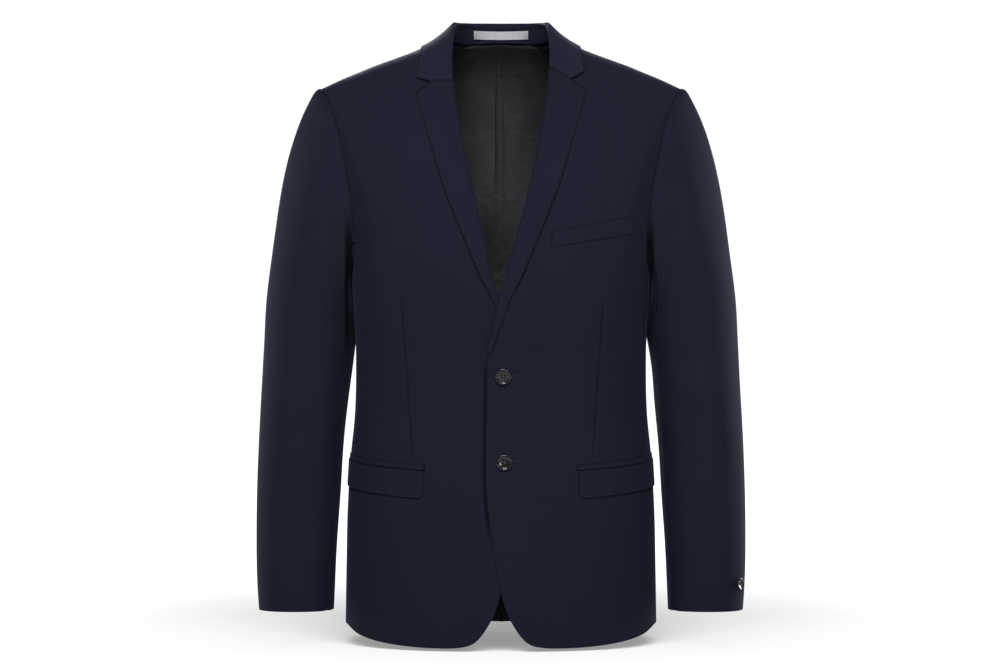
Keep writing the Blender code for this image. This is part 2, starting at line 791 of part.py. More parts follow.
def cloth_object(name, rows, thickness, material, facing):
    """Makes a wall from rows of middle points. Facing gives the rough outward direction at a point."""
    vertices = [place * MM for row in rows for place in row]
    width = len(rows[0])
    faces = []
    for r in range(len(rows) - 1):
        for c in range(width - 1):
            first = r * width + c
            faces.append((first, first + 1, first + width + 1, first + width))
    mesh = bpy.data.meshes.new(name)
    mesh.from_pydata(vertices, [], faces)
    mesh.update()
    if facing(mesh):
        mesh.flip_normals()
    thing = bpy.data.objects.new(name, mesh)
    BLAZER.objects.link(thing)
    wall = thing.modifiers.new("Wall", "SOLIDIFY")
    wall.thickness = thickness * MM
    wall.offset = 0.0
    wall.use_even_offset = True
    wall.use_quality_normals = True
    mesh.materials.append(material)
    return thing


def outward_from(centre_x, centre_y):
    """True when the mesh faces inwards, towards an upright line through this point."""

    def check(mesh):
        total = 0.0
        for face in mesh.polygons:
            away = Vector((face.center.x - centre_x * MM, face.center.y - centre_y * MM, 0.0))
            total += face.normal.dot(away) * face.area
        return total < 0.0

    return check


def material_of(name, colour, roughness):
    material = bpy.data.materials.new(name)
    material.use_nodes = True
    shader = material.node_tree.nodes["Principled BSDF"]
    shader.inputs["Base Color"].default_value = (*colour, 1.0)
    shader.inputs["Roughness"].default_value = roughness
    return material


def button_object(name, radius, thickness, centre, normal, material):
    """A turned button with a raised rim and four holes, standing on the cloth."""
    profile = [(0.0, 0.0), (0.72, 0.0), (0.97, 0.28), (1.0, 0.55), (0.93, 0.92)]
    profile += [(0.84, 1.0), (0.74, 0.86), (0.66, 0.66), (0.0, 0.62)]
    shape = bmesh.new()
    steps = 24
    rings = []
    for r, h in profile:
        if r == 0.0:
            rings.append([shape.verts.new((0.0, 0.0, h * thickness * MM))])
            continue
        ring = []
        for k in range(steps):
            a = 2.0 * math.pi * k / steps
            reach = r * radius * MM
            ring.append(shape.verts.new((reach * math.cos(a), reach * math.sin(a), h * thickness * MM)))
        rings.append(ring)
    for low, high in zip(rings[:-1], rings[1:]):
        for k in range(steps):
            a, b = low[k % len(low)], low[(k + 1) % len(low)]
            c, d = high[(k + 1) % len(high)], high[k % len(high)]
            corners = [v for i, v in enumerate((a, b, c, d)) if v not in (a, b, c, d)[:i]]
            shape.faces.new(corners)
    bmesh.ops.recalc_face_normals(shape, faces=shape.faces)
    mesh = bpy.data.meshes.new(name)
    shape.to_mesh(mesh)
    shape.free()
    mesh.materials.append(material)
    thing = bpy.data.objects.new(name, mesh)
    BLAZER.objects.link(thing)
    turn = normal.to_track_quat("Z", "Y")
    thing.rotation_mode = "QUATERNION"
    thing.rotation_quaternion = turn
    thing.location = centre * MM
    for k in range(4):
        a = math.radians(45.0 + 90.0 * k)
        hole = {"radius": 0.095 * radius * MM, "depth": 3.0 * thickness * MM}
        bpy.ops.mesh.primitive_cylinder_add(vertices=10, **hole)
        drill = bpy.context.object
        drill.name = f"{name}_hole_{k + 1}"
        for owner in list(drill.users_collection):
            owner.objects.unlink(drill)
        CUTTERS.objects.link(drill)
        drill.hide_render = True
        drill.display_type = "WIRE"
        drill.rotation_mode = "QUATERNION"
        drill.rotation_quaternion = turn
        offset = Vector((0.23 * radius * math.cos(a), 0.23 * radius * math.sin(a), 0.5 * thickness))
        drill.location = (centre + turn @ offset) * MM
        cut = thing.modifiers.new(f"Hole{k + 1}", "BOOLEAN")
        cut.operation = "DIFFERENCE"
        cut.solver = "EXACT"
        cut.object = drill
    return thing


def seam_angles(columns, top, bottom):
    """The ring angle of a sleeve seam on each row, from the armhole to the cuff."""
    count = len(columns[0][1])
    return [lerp(top, bottom, ease(0.0, count - 3.0, row)) for row in range(count)]


for old in list(bpy.data.objects):
    bpy.data.objects.remove(old, do_unlink=True)
BLAZER = bpy.data.collections.new("two_button_blazer")
CUTTERS = bpy.data.collections.new("cutters")
bpy.context.scene.collection.children.link(BLAZER)
bpy.context.scene.collection.children.link(CUTTERS)
navy = material_of("navy wool", NAVY, 0.85)
lining = material_of("dark lining", LINING, 0.45)
silver = material_of("grey label", LABEL, 0.6)
gloss = material_of("dark button", BUTTON, 0.25)
outwards = outward_from(0.0, 0.0)

for side, word in ((1, "left"), (-1, "right")):
    cloth_object(f"front_{word}", front_rows(side), CLOTH, navy, outwards)
    cloth_object(f"side_panel_{word}", side_rows(side), CLOTH, navy, outwards)
    cloth_object(f"back_{word}", back_rows(side), CLOTH, navy, outwards)
    columns = sleeve_columns(side)
    low_back = 372.0 if side > 0 else 322.0
    front_seam = seam_angles(columns, 127.0, 158.0)
    back_seam = seam_angles(columns, 290.0, low_back)
    front_gaps = [lerp(1.7, 0.32, ease(4.0, 10.0, row)) for row in range(len(front_seam))]
    back_gaps = [lerp(1.0, 0.32, ease(0.0, 8.0, row)) for row in range(len(front_seam))]
    top_start = [a - 360.0 + g for a, g in zip(back_seam, back_gaps)]
    top_end = [a - g for a, g in zip(front_seam, front_gaps)]
    under_start = [a + g for a, g in zip(front_seam, front_gaps)]
    under_end = [a - g for a, g in zip(back_seam, back_gaps)]
    top = smooth_sleeve_rows(columns, top_start, top_end)
    under = smooth_sleeve_rows(columns, under_start, under_end)
    sleeve_out = outward_from(side * 246.0, 5.0)
    cloth_object(f"top_sleeve_{word}", top, CLOTH, navy, sleeve_out)
    cloth_object(f"under_sleeve_{word}", under, CLOTH, navy, sleeve_out)
    cloth_object(f"lapel_{word}", lapel_rows(side), LAPEL_CLOTH, navy, outwards)
    cloth_object(f"back_lining_{word}", lining_rows(side), LINING_CLOTH, lining, outwards)
    shares = [0.0, 0.02, 0.055, 0.2, 0.36, 0.52, 0.68, 0.82, 0.945, 0.98, 1.0]
    flap = patch_rows(flap_place, side, 3.0, shares, (0.0, 0.4, 0.75, 1.0))
    cloth_object(f"pocket_flap_{word}", flap, 2.0, navy, outwards)
    jet = patch_rows(jet_place, side, 2.35, [k / 9.0 for k in range(10)], (0.0, 0.5, 1.0))
    cloth_object(f"pocket_jet_{word}", jet, 1.6, navy, outwards)

collar = collar_rows()
collar_out = outward_from(0.0, 10.0)
cloth_object("collar_fall", collar, LAPEL_CLOTH, navy, collar_out)
stand = stand_rows(collar)
cloth_object("collar_stand", stand, 2.0, navy, collar_out)
welt = patch_rows(welt_place, 1, 2.8, [k / 6.0 for k in range(7)], (0.0, 0.5, 1.0))
cloth_object("breast_welt", welt, 1.8, navy, outwards)
for name, x, z, lift in FRONT_BUTTONS:
    middle = over_front(x, z, 0.0, 1)
    across = over_front(x + 9.0, z, 0.0, 1) - over_front(x - 9.0, z, 0.0, 1)
    up = over_front(x, z + 9.0, 0.0, 1) - over_front(x, z - 9.0, 0.0, 1)
    normal = across.cross(up).normalized()
    button_object(name, BUTTON_RADIUS, 3.4, middle + normal * (CLOTH / 2.0 + lift), normal, gloss)
for side, word, around in ((1, "left", 37.0), (-1, "right", -27.0)):
    a = math.radians(around)
    middle = sleeve_ring(around, -660.0, side)
    normal = Vector((side * math.cos(a), -math.sin(a) * 0.95, 0.0)).normalized()
    centre = middle + normal * (CLOTH / 2.0 + 0.15)
    button_object(f"cuff_button_{word}", CUFF_BUTTON_RADIUS, 2.8, centre, normal, gloss)

cloth_object("neck_label", label_rows(stand), 0.8, silver, collar_out)
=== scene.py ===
import json
import math

import bmesh
import bpy
import numpy as np
from mathutils import Matrix, Vector
from mathutils.bvhtree import BVHTree

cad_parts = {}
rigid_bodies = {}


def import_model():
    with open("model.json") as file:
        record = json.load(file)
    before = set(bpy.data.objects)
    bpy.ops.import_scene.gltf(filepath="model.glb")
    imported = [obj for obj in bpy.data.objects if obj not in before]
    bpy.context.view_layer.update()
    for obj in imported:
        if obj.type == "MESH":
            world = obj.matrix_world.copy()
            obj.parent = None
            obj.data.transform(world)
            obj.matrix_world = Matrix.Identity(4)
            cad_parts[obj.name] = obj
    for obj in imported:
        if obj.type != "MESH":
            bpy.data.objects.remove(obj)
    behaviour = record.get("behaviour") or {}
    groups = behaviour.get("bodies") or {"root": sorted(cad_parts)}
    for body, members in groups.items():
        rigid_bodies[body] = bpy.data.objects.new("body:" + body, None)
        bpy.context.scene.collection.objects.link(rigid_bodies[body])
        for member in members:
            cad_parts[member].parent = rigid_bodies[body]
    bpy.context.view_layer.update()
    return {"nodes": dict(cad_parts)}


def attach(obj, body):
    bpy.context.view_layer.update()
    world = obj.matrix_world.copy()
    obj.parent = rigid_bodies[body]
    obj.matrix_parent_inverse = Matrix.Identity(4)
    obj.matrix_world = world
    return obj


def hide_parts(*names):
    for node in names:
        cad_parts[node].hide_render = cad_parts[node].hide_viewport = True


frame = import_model()


def newObject(name, data):
    thing = bpy.data.objects.new(name, data)
    bpy.context.collection.objects.link(thing)
    return thing


print("camera, lights and floor")

# camera: the photo is square on to the front, with the lens level with the waist
shot = {
    "place": (0.00372, -3.5, -0.353),
    "frameWidth": 1.24992,  # metres that the picture spans at the middle of the jacket
    "shiftDown": 3 / 1008,
}
cameraData = bpy.data.cameras.new("shotCamera")
cameraData.sensor_width = 36.0
cameraData.lens = 36.0 * -shot["place"][1] / shot["frameWidth"]
cameraData.shift_y = -shot["shiftDown"]
cameraData.clip_end = 90.0
shotCamera = newObject("shotCamera", cameraData)
shotCamera.location = shot["place"]
shotCamera.rotation_euler = (math.radians(90), 0, 0)
bpy.context.scene.camera = shotCamera
bpy.context.scene.view_settings.view_transform = "Standard"

studio = {
    "backdrop": 1.05,  # how bright the empty background looks
    "sky": 0.15,  # how much light it gives
    "floorHeight": -0.7345,
    "floorSize": 60.0,
    "floorColour": (0.58, 0.58, 0.58),
    # painted light: the floor glows by itself, faintly near the jacket and more far off
    "floorGlow": 0.24,
    "farGlow": 0.83,
    "glowFrom": (0.55, 1.7),  # metres from the foot of the neck, between which the far glow comes in
    # name: (what it lights, place, aim, width, height, watts)
    "lamps": {
        "keyLamp": ("jacket", (-0.2, -3.1, 2.0), (0.0, 0.0, -0.40), 1.5, 1.2, 272.0),
        "frontLamp": ("jacket", (0.8, -3.4, 0.15), (0.0, 0.0, -0.35), 0.3, 0.5, 26.0),
        "rimLampLeft": ("jacket", (-2.1, 0.9, -0.25), (-0.25, 0.0, -0.45), 0.5, 1.8, 62.0),
        "rimLampRight": ("jacket", (2.1, 1.0, -0.25), (0.25, 0.0, -0.45), 0.5, 1.8, 96.0),
        "backLamp": ("jacket", (-0.5, 3.3, 1.4), (0.0, 0.0, -0.35), 1.6, 1.4, 170.0),
        "floorLamp": ("floor", (0.0, -2.4, 2.0), (0.0, 0.15, -0.73), 3.4, 3.4, 212.0),
    },
}
world = bpy.data.worlds.new("studioSky")
world.use_nodes = True
skyNodes = world.node_tree.nodes
skyNodes["Background"].inputs["Color"].default_value = (1.0, 1.0, 1.0, 1.0)
skyPath = skyNodes.new("ShaderNodeLightPath")
skyLevel = skyNodes.new("ShaderNodeMath")
skyLevel.operation = "MULTIPLY_ADD"
skyLevel.inputs[1].default_value = studio["backdrop"] - studio["sky"]
skyLevel.inputs[2].default_value = studio["sky"]
world.node_tree.links.new(skyPath.outputs["Is Camera Ray"], skyLevel.inputs[0])
world.node_tree.links.new(skyLevel.outputs[0], skyNodes["Background"].inputs["Strength"])
bpy.context.scene.world = world
# the jacket and the floor are lit apart, each by its own lamps
litBy = {target: bpy.data.collections.new(target + "Lit") for target in ("jacket", "floor")}
shading = bpy.data.collections.new("shadesFloor")  # the pieces that cast the soft shadow on the floor
for lampName, (target, place, aim, width, height, watts) in studio["lamps"].items():
    lampData = bpy.data.lights.new(lampName, "AREA")
    lampData.shape = "RECTANGLE"
    lampData.size = width
    lampData.size_y = height
    lampData.energy = watts
    lamp = newObject(lampName, lampData)
    lamp.location = place
    lamp.rotation_euler = (Vector(aim) - Vector(place)).to_track_quat("-Z", "Y").to_euler()
    lamp.light_linking.receiver_collection = litBy[target]
    if target == "floor":
        lamp.light_linking.blocker_collection = shading

print("materials")


def newMaterial(name):
    material = bpy.data.materials.new(name)
    material.use_nodes = True
    return material, material.node_tree.nodes, material.node_tree.links


def addNode(nodes, kind, **settings):
    node = nodes.new(kind)
    for key, value in settings.items():
        if key in node.inputs:
            node.inputs[key].default_value = value
        else:
            setattr(node, key, value)
    return node


def noiseOver(nodes, links, coordinates, **settings):
    noise = addNode(nodes, "ShaderNodeTexNoise", **settings)
    links.new(coordinates.outputs["Object"], noise.inputs["Vector"])
    return noise


def mixColours(nodes, links, factor, first, second):
    # first and second are colours or sockets
    mix = nodes.new("ShaderNodeMix")
    mix.data_type = "RGBA"
    links.new(factor, mix.inputs["Factor"])
    for socket, value in ((mix.inputs[6], first), (mix.inputs[7], second)):
        if hasattr(value, "links"):
            links.new(value, socket)
        else:
            socket.default_value = (*value, 1.0)
    return mix.outputs[2]


def scaled(nodes, links, value, factor, added=0.0):
    step = nodes.new("ShaderNodeMath")
    step.operation = "MULTIPLY_ADD"
    links.new(value, step.inputs[0])
    step.inputs[1].default_value = factor
    step.inputs[2].default_value = added
    return step.outputs[0]


def summed(nodes, links, first, second, operation="ADD"):
    step = nodes.new("ShaderNodeMath")
    step.operation = operation
    links.new(first, step.inputs[0])
    links.new(second, step.inputs[1])
    return step.outputs[0]


def threadHeights(nodes, links, uvSocket, pitch, twill):
    # two sets of threads from the piece's own uv map, which is in metres
    heights = []
    for turn in (0.0, 90.0):
        mapping = addNode(nodes, "ShaderNodeMapping")
        mapping.inputs["Rotation"].default_value = (0, 0, math.radians(turn + twill))
        links.new(uvSocket, mapping.inputs["Vector"])
        wave = addNode(nodes, "ShaderNodeTexWave", wave_type="BANDS", bands_direction="X")
        wave.inputs["Scale"].default_value = 0.314 / pitch  # gives one band to each thread
        wave.inputs["Distortion"].default_value = 0.6
        wave.inputs["Detail"].default_value = 1.0
        wave.inputs["Detail Scale"].default_value = 1.5
        links.new(mapping.outputs["Vector"], wave.inputs["Vector"])
        heights.append(wave.outputs["Fac"])
    return summed(nodes, links, *heights, "MULTIPLY")


def clothMaterial(name, look):
    # woven cloth: threads, slubs and a slow change of shade over the piece
    material, nodes, links = newMaterial(name)
    shader = nodes["Principled BSDF"]
    coordinates = nodes.new("ShaderNodeTexCoord")
    weave = threadHeights(nodes, links, coordinates.outputs["UV"], look["pitch"], look["twill"])
    slow = noiseOver(nodes, links, coordinates, Scale=look["patchScale"], Detail=3.0, Roughness=0.55)
    fine = noiseOver(nodes, links, coordinates, Scale=look["slubScale"], Detail=2.0, Roughness=0.6)
    base = mixColours(nodes, links, slow.outputs["Fac"], look["dark"], look["light"])
    threadShade = scaled(nodes, links, weave, look["threadContrast"])
    base = mixColours(nodes, links, threadShade, base, look["thread"])
    if "bandColour" in look:
        # the facing and hem turn-ups are cut from the outer cloth
        band = addNode(nodes, "ShaderNodeAttribute", attribute_name="band")
        edge = addNode(nodes, "ShaderNodeMapRange", clamp=True)
        edge.inputs["From Min"].default_value = 0.48
        edge.inputs["From Max"].default_value = 0.52
        links.new(band.outputs["Fac"], edge.inputs["Value"])
        base = mixColours(nodes, links, edge.outputs["Result"], base, look["bandColour"])
    if "shadeColour" in look:
        # painted shade: darker where the cloth goes deep between other pieces
        shade = addNode(nodes, "ShaderNodeAttribute", attribute_name="shade")
        base = mixColours(nodes, links, shade.outputs["Fac"], base, look["shadeColour"])
    links.new(base, shader.inputs["Base Color"])
    rough = scaled(nodes, links, fine.outputs["Fac"], look["roughSpread"], look["roughness"])
    links.new(rough, shader.inputs["Roughness"])
    shader.inputs["Specular IOR Level"].default_value = look["specular"]
    shader.inputs["Sheen Weight"].default_value = look["sheen"]
    shader.inputs["Sheen Roughness"].default_value = look["sheenRoughness"]
    shader.inputs["Sheen Tint"].default_value = (*look["sheenTint"], 1.0)
    slubs = scaled(nodes, links, fine.outputs["Fac"], look["slubHeight"])
    heights = summed(nodes, links, weave, slubs)
    threadBump = addNode(nodes, "ShaderNodeBump", Strength=look["bump"], Distance=look["threadHeight"])
    links.new(heights, threadBump.inputs["Height"])
    if "crumple" in look:
        # soft mottled creases of a thin lining
        scale, strength = look["crumple"]
        settings = {"Scale": scale, "Detail": 4.0, "Roughness": 0.5, "Distortion": 0.8}
        crumple = noiseOver(nodes, links, coordinates, **settings)
        crumpleBump = addNode(nodes, "ShaderNodeBump", Strength=strength, Distance=0.004)
        links.new(crumple.outputs["Fac"], crumpleBump.inputs["Height"])
        links.new(crumpleBump.outputs["Normal"], threadBump.inputs["Normal"])
    links.new(threadBump.outputs["Normal"], shader.inputs["Normal"])
    return material


navyLook = {
    "dark": (0.0039, 0.0045, 0.0096),
    "light": (0.0049, 0.0057, 0.0114),
    "thread": (0.0068, 0.0078, 0.0150),
    "threadContrast": 0.45,
    "pitch": 0.0007,
    "twill": 33.0,
    "patchScale": 9.0,
    "slubScale": 900.0,
    "slubHeight": 0.6,
    "threadHeight": 0.00022,
    "bump": 0.35,
    "roughness": 0.72,
    "roughSpread": 0.2,
    "specular": 0.03,
    "sheen": 0.03,
    "sheenRoughness": 0.35,
    "sheenTint": (0.50, 0.62, 1.0),
    # the colour of the painted shade
    "shadeColour": (0.0006, 0.0007, 0.0012),
}
liningLook = {
    "dark": (0.0045, 0.0042, 0.0050),
    "light": (0.0165, 0.0155, 0.0185),
    "thread": (0.0180, 0.0170, 0.0200),
    "threadContrast": 0.3,
    "pitch": 0.00045,
    "twill": 45.0,
    "patchScale": 28.0,
    "slubScale": 700.0,
    "slubHeight": 0.4,
    "threadHeight": 0.00012,
    "bump": 0.25,
    "roughness": 0.5,
    "roughSpread": 0.16,
    "specular": 0.13,
    "sheen": 0.04,
    "sheenRoughness": 0.3,
    "sheenTint": (0.8, 0.8, 0.85),
    "crumple": (34.0, 0.4),
    # the colour of the painted shade
    "shadeColour": (0.0022, 0.0022, 0.0026),
    "bandColour": navyLook["light"],
}
labelLook = {
    "dark": (0.17, 0.17, 0.18),
    "light": (0.205, 0.205, 0.216),
    "thread": (0.24, 0.24, 0.25),
    "threadContrast": 0.6,
    "pitch": 0.0009,
    "twill": 0.0,
    "patchScale": 60.0,
    "slubScale": 1500.0,
    "slubHeight": 0.5,
    "threadHeight": 0.0002,
    "bump": 0.5,
    "roughness": 0.45,
    "roughSpread": 0.15,
    "specular": 0.35,
    "sheen": 0.1,
    "sheenRoughness": 0.3,
    "sheenTint": (1.0, 1.0, 1.0),
}
threadLook = dict(
    navyLook,
    dark=(0.0048, 0.0056, 0.0104),
    light=(0.0062, 0.0072, 0.0130),
    thread=(0.0084, 0.0096, 0.0168),
    pitch=0.0003,
    specular=0.12,
    roughness=0.6,
)
edgeLook = dict(
    # painted shade: the cut edges are darkened as if half in their own shadow, under the hardest light
    navyLook,
    dark=(0.0022, 0.0026, 0.0054),
    light=(0.0028, 0.0033, 0.0066),
)
litCollarLook = dict(
    # painted light: the collar's cloth is made a little paler, as where it turns up to the light
    navyLook,
    dark=(0.0049, 0.0056, 0.0116),
    light=(0.0061, 0.0070, 0.0138),
    thread=(0.0082, 0.0093, 0.0175),
)
seamShadowLook = dict(
    # painted shadow: edges pressed down close into the cloth under them are dark as the shadow lines round
    # them
    navyLook,
    dark=(0.0010, 0.0012, 0.0026),
    light=(0.0015, 0.0018, 0.0036),
    thread=(0.0020, 0.0024, 0.0048),
)
navyCloth = clothMaterial("navyCloth", navyLook)
liningCloth = clothMaterial("liningCloth", liningLook)
labelTape = clothMaterial("labelTape", labelLook)
sewingThread = clothMaterial("sewingThread", threadLook)
pressedEdge = clothMaterial("pressedEdge", edgeLook)
collarCloth = clothMaterial("collarCloth", litCollarLook)
seamEdge = clothMaterial("seamEdge", seamShadowLook)


def buttonMaterial():
    # dark resin, polished, with faint cloudy streaks inside
    material, nodes, links = newMaterial("buttonResin")
    shader = nodes["Principled BSDF"]
    coordinates = nodes.new("ShaderNodeTexCoord")
    streaks = noiseOver(nodes, links, coordinates, Scale=260.0, Detail=4.0, Distortion=2.5)
    base = mixColours(nodes, links, streaks.outputs["Fac"], (0.0015, 0.0015, 0.002), (0.010, 0.0095, 0.011))
    links.new(base, shader.inputs["Base Color"])
    rough = scaled(nodes, links, streaks.outputs["Fac"], 0.10, 0.06)
    links.new(rough, shader.inputs["Roughness"])
    shader.inputs["Specular IOR Level"].default_value = 0.16
    shader.inputs["Coat Weight"].default_value = 0.1
    shader.inputs["Coat Roughness"].default_value = 0.08
    scratches = addNode(nodes, "ShaderNodeBump", Strength=0.08, Distance=0.0002)
    links.new(streaks.outputs["Fac"], scratches.inputs["Height"])
    links.new(scratches.outputs["Normal"], shader.inputs["Normal"])
    return material


buttonResin = buttonMaterial()


def floorMaterial():
    material, nodes, links = newMaterial("paleFloor")
    shader = nodes["Principled BSDF"]
    coordinates = nodes.new("ShaderNodeTexCoord")
    paper = noiseOver(nodes, links, coordinates, Scale=3.0, Detail=2.0)
    pale = studio["floorColour"]
    paler = tuple(min(1.0, channel + 0.01) for channel in pale)
    links.new(mixColours(nodes, links, paper.outputs["Fac"], pale, paler), shader.inputs["Base Color"])
    shader.inputs["Roughness"].default_value = 0.95
    shader.inputs["Specular IOR Level"].default_value = 0.0
    shader.inputs["Emission Color"].default_value = (1.0, 1.0, 1.0, 1.0)
    # painted light: the floor glows, faintly near the jacket so that its shadow there is lifted, and
    # brighter away from it, so that it runs into the backdrop with no edge
    distance = nodes.new("ShaderNodeVectorMath")
    distance.operation = "LENGTH"
    links.new(coordinates.outputs["Object"], distance.inputs[0])
    glow = addNode(nodes, "ShaderNodeMapRange", clamp=True, interpolation_type="SMOOTHSTEP")
    glow.inputs["From Min"].default_value, glow.inputs["From Max"].default_value = studio["glowFrom"]
    glow.inputs["To Min"].default_value = studio["floorGlow"]
    glow.inputs["To Max"].default_value = studio["farGlow"] + studio["floorGlow"]
    links.new(distance.outputs["Value"], glow.inputs["Value"])
    links.new(glow.outputs["Result"], shader.inputs["Emission Strength"])
    return material


def onlySelect(thing):
    bpy.ops.object.select_all(action="DESELECT")
    thing.select_set(True)
    bpy.context.view_layer.objects.active = thing


bpy.ops.object.select_all(action="DESELECT")
bpy.ops.mesh.primitive_plane_add(size=studio["floorSize"], location=(0, 0, studio["floorHeight"]))
floor = bpy.context.object
floor.name = "floor"
bpy.ops.object.transform_apply(location=True, rotation=True, scale=True)
floor.data.materials.append(floorMaterial())

print("cloth tools")

clothTools = {
    "cornerTurn": 50.0,  # degrees between two faces from which an edge is a real one
    "layerTurn": 55.0,  # and from which it parts the outer layer, the inner one and the edge round them
    "rounds": 4,  # how often the corner points are corrected, or directions spread to bare ones
    "creaseFade": 0.28,  # share of a crease's length over which it comes in, at both ends
    "turnFade": 0.25,  # how far the cloth may turn away before a crease is gone
}
sleeveSpan = {"foot": -0.64, "top": -0.16, "steps": 13, "band": 0.03, "past": 0.02}
bodyMiddle = -0.004  # y of the line that the body's cloth goes round


def finishedMesh(piece, modifierType, **settings):
    # adds a modifier to the piece and applies it
    modifier = piece.modifiers.new(modifierType.lower(), modifierType)
    for key, value in settings.items():
        setattr(modifier, key, value)
    onlySelect(piece)
    bpy.ops.object.modifier_apply(modifier=modifier.name)


def roundOff(piece, levels):
    # subdivides, with the corner points moved out first so that the smooth cloth still passes through them
    modifier = piece.modifiers.new("smooth", "SUBSURF")
    modifier.levels = levels
    modifier.render_levels = levels
    wanted = vertexPlaces(piece.data)
    for _ in range(clothTools["rounds"]):
        seen = piece.evaluated_get(bpy.context.evaluated_depsgraph_get())
        reached = vertexPlaces(seen.data)[: len(wanted)]
        setPlaces(piece.data, vertexPlaces(piece.data) + (wanted - reached))
    onlySelect(piece)
    bpy.ops.object.modifier_apply(modifier=modifier.name)


def axisOfSleeve(side):
    # a smooth line down the middle of the sleeve: x and y for each height
    points = []
    for part in ("top_sleeve_", "under_sleeve_"):
        points += [vertex.co[:] for vertex in frame["nodes"][part + side].data.vertices]
    points = np.array(points)
    levels = np.linspace(sleeveSpan["foot"], sleeveSpan["top"], sleeveSpan["steps"])
    middles = []
    for level in levels:
        near = points[np.abs(points[:, 2] - level) < sleeveSpan["band"]]
        middles.append((near.min(0) + near.max(0)) / 2)
    middles = np.array(middles)
    fitX = np.polyfit(levels, middles[:, 0], 3)
    fitY = np.polyfit(levels, middles[:, 1], 3)

    def axis(heights):
        past = sleeveSpan["past"]
        inside = np.clip(heights, sleeveSpan["foot"] - past, sleeveSpan["top"] + past)
        return np.polyval(fitX, inside), np.polyval(fitY, inside)

    return axis


def axisOfBody(heights):
    return np.zeros_like(heights), np.full_like(heights, bodyMiddle)


def facePlaces(mesh):
    places = np.zeros(len(mesh.polygons) * 3)
    normals = np.zeros(len(mesh.polygons) * 3)
    mesh.polygons.foreach_get("center", places)
    mesh.polygons.foreach_get("normal", normals)
    return places.reshape(-1, 3), normals.reshape(-1, 3)


def vertexPlaces(mesh):
    places = np.zeros(len(mesh.vertices) * 3)
    mesh.vertices.foreach_get("co", places)
    return places.reshape(-1, 3)


def setPlaces(mesh, places):
    mesh.vertices.foreach_set("co", places.ravel())
    mesh.update()


def smoothShade(piece, degrees):
    onlySelect(piece)
    bpy.ops.object.shade_smooth_by_angle(angle=math.radians(degrees))


def sortLayers(piece, axis):
    # material 0 is the outer layer, 1 the inner one and 2 the turned edge round them
    sharp = math.radians(clothTools["layerTurn"])
    net = bmesh.new()
    net.from_mesh(piece.data)
    net.faces.ensure_lookup_table()
    group = [-1] * len(net.faces)
    sizes = []
    for start in net.faces:
        if group[start.index] >= 0:
            continue
        group[start.index] = len(sizes)
        waiting = [start]
        area = 0.0
        while waiting:
            face = waiting.pop()
            area += face.calc_area()
            for edge in face.edges:
                if len(edge.link_faces) != 2 or edge.calc_face_angle() > sharp:
                    continue
                for other in edge.link_faces:
                    if group[other.index] < 0:
                        group[other.index] = group[start.index]
                        waiting.append(other)
        sizes.append(area)
    order = sorted(range(len(sizes)), key=lambda k: -sizes[k])[:2]
    places, normals = facePlaces(piece.data)
    axisX, axisY = axis(places[:, 2])
    outward = (places[:, 0] - axisX) * normals[:, 0] + (places[:, 1] - axisY) * normals[:, 1]
    outward = outward + 0.03 * normals[:, 2]  # settles the pieces that lie nearly level
    group = np.array(group)
    if outward[group == order[0]].mean() < outward[group == order[1]].mean():
        order.reverse()
    layers = np.full(len(group), 2, np.int32)
    layers[group == order[0]] = 0
    layers[group == order[1]] = 1
    net.free()
    while len(piece.data.materials) < 3:
        piece.data.materials.append(navyCloth)
    piece.data.polygons.foreach_set("material_index", layers)


def outwardOf(piece):
    # the direction out of the cloth at each vertex, the same on both layers
    mesh = piece.data
    direction = np.zeros((len(mesh.vertices), 3))
    for face in mesh.polygons:
        if face.material_index < 2:
            sign = 1.0 if face.material_index == 0 else -1.0
            direction[list(face.vertices)] += sign * np.array(face.normal)
    edges = np.zeros(len(mesh.edges) * 2, np.int32)
    mesh.edges.foreach_get("vertices", edges)
    edges = edges.reshape(-1, 2)
    for _ in range(clothTools["rounds"]):
        length = np.linalg.norm(direction, axis=1)
        bare = length < 1e-6
        if not bare.any():
            break
        spread = np.zeros_like(direction)
        np.add.at(spread, edges[:, 0], direction[edges[:, 1]])
        np.add.at(spread, edges[:, 1], direction[edges[:, 0]])
        direction[bare] = spread[bare]
    length = np.linalg.norm(direction, axis=1, keepdims=True)
    return direction / np.maximum(length, 1e-9)


def smoothStep(value):
    value = np.clip(value, 0.0, 1.0)
    return value * value * (3.0 - 2.0 * value)


def alongLine(plane, line):
    # each point's distance to the bent line, and how far along the line it is, from 0 to 1
    best = np.full(len(plane), 1e9)
    along = np.zeros(len(plane))
    lengths = np.linalg.norm(np.diff(line, axis=0), axis=1)
    started = 0.0
    for first, last, length in zip(line[:-1], line[1:], lengths):
        step = (last - first) / length
        offset = plane - first
        run = np.clip(offset @ step, 0.0, length)
        far = np.linalg.norm(offset - run[:, None] * step, axis=1)
        closer = far < best
        best = np.where(closer, far, best)
        along = np.where(closer, (started + run) / lengths.sum(), along)
        started += length
    return best, along


def creaseDepth(places, facing, creases):
    # soft troughs (depth < 0) and ridges, each (width, depth, *points) in millimetres along a bent line,
    # listed under the side that they are seen from, and fading toward both ends
    turnedTo = {"front": facing, "back": -facing, "side": np.ones(len(places))}
    ends, turnFade = clothTools["creaseFade"], clothTools["turnFade"]
    total = np.zeros(len(places))
    for side, sideCreases in creases.items():
        seen = smoothStep((turnedTo[side] + turnFade) / (2 * turnFade))
        plane = places[:, [1 if side == "side" else 0, 2]]
        for width, depth, *points in sideCreases:
            far, along = alongLine(plane, np.array(points) / 1000.0)
            fade = smoothStep(along / ends) * smoothStep((1.0 - along) / ends)
            total += depth / 1000.0 * fade * seen * np.exp(-((far * 1000.0 / width) ** 2))
    return total


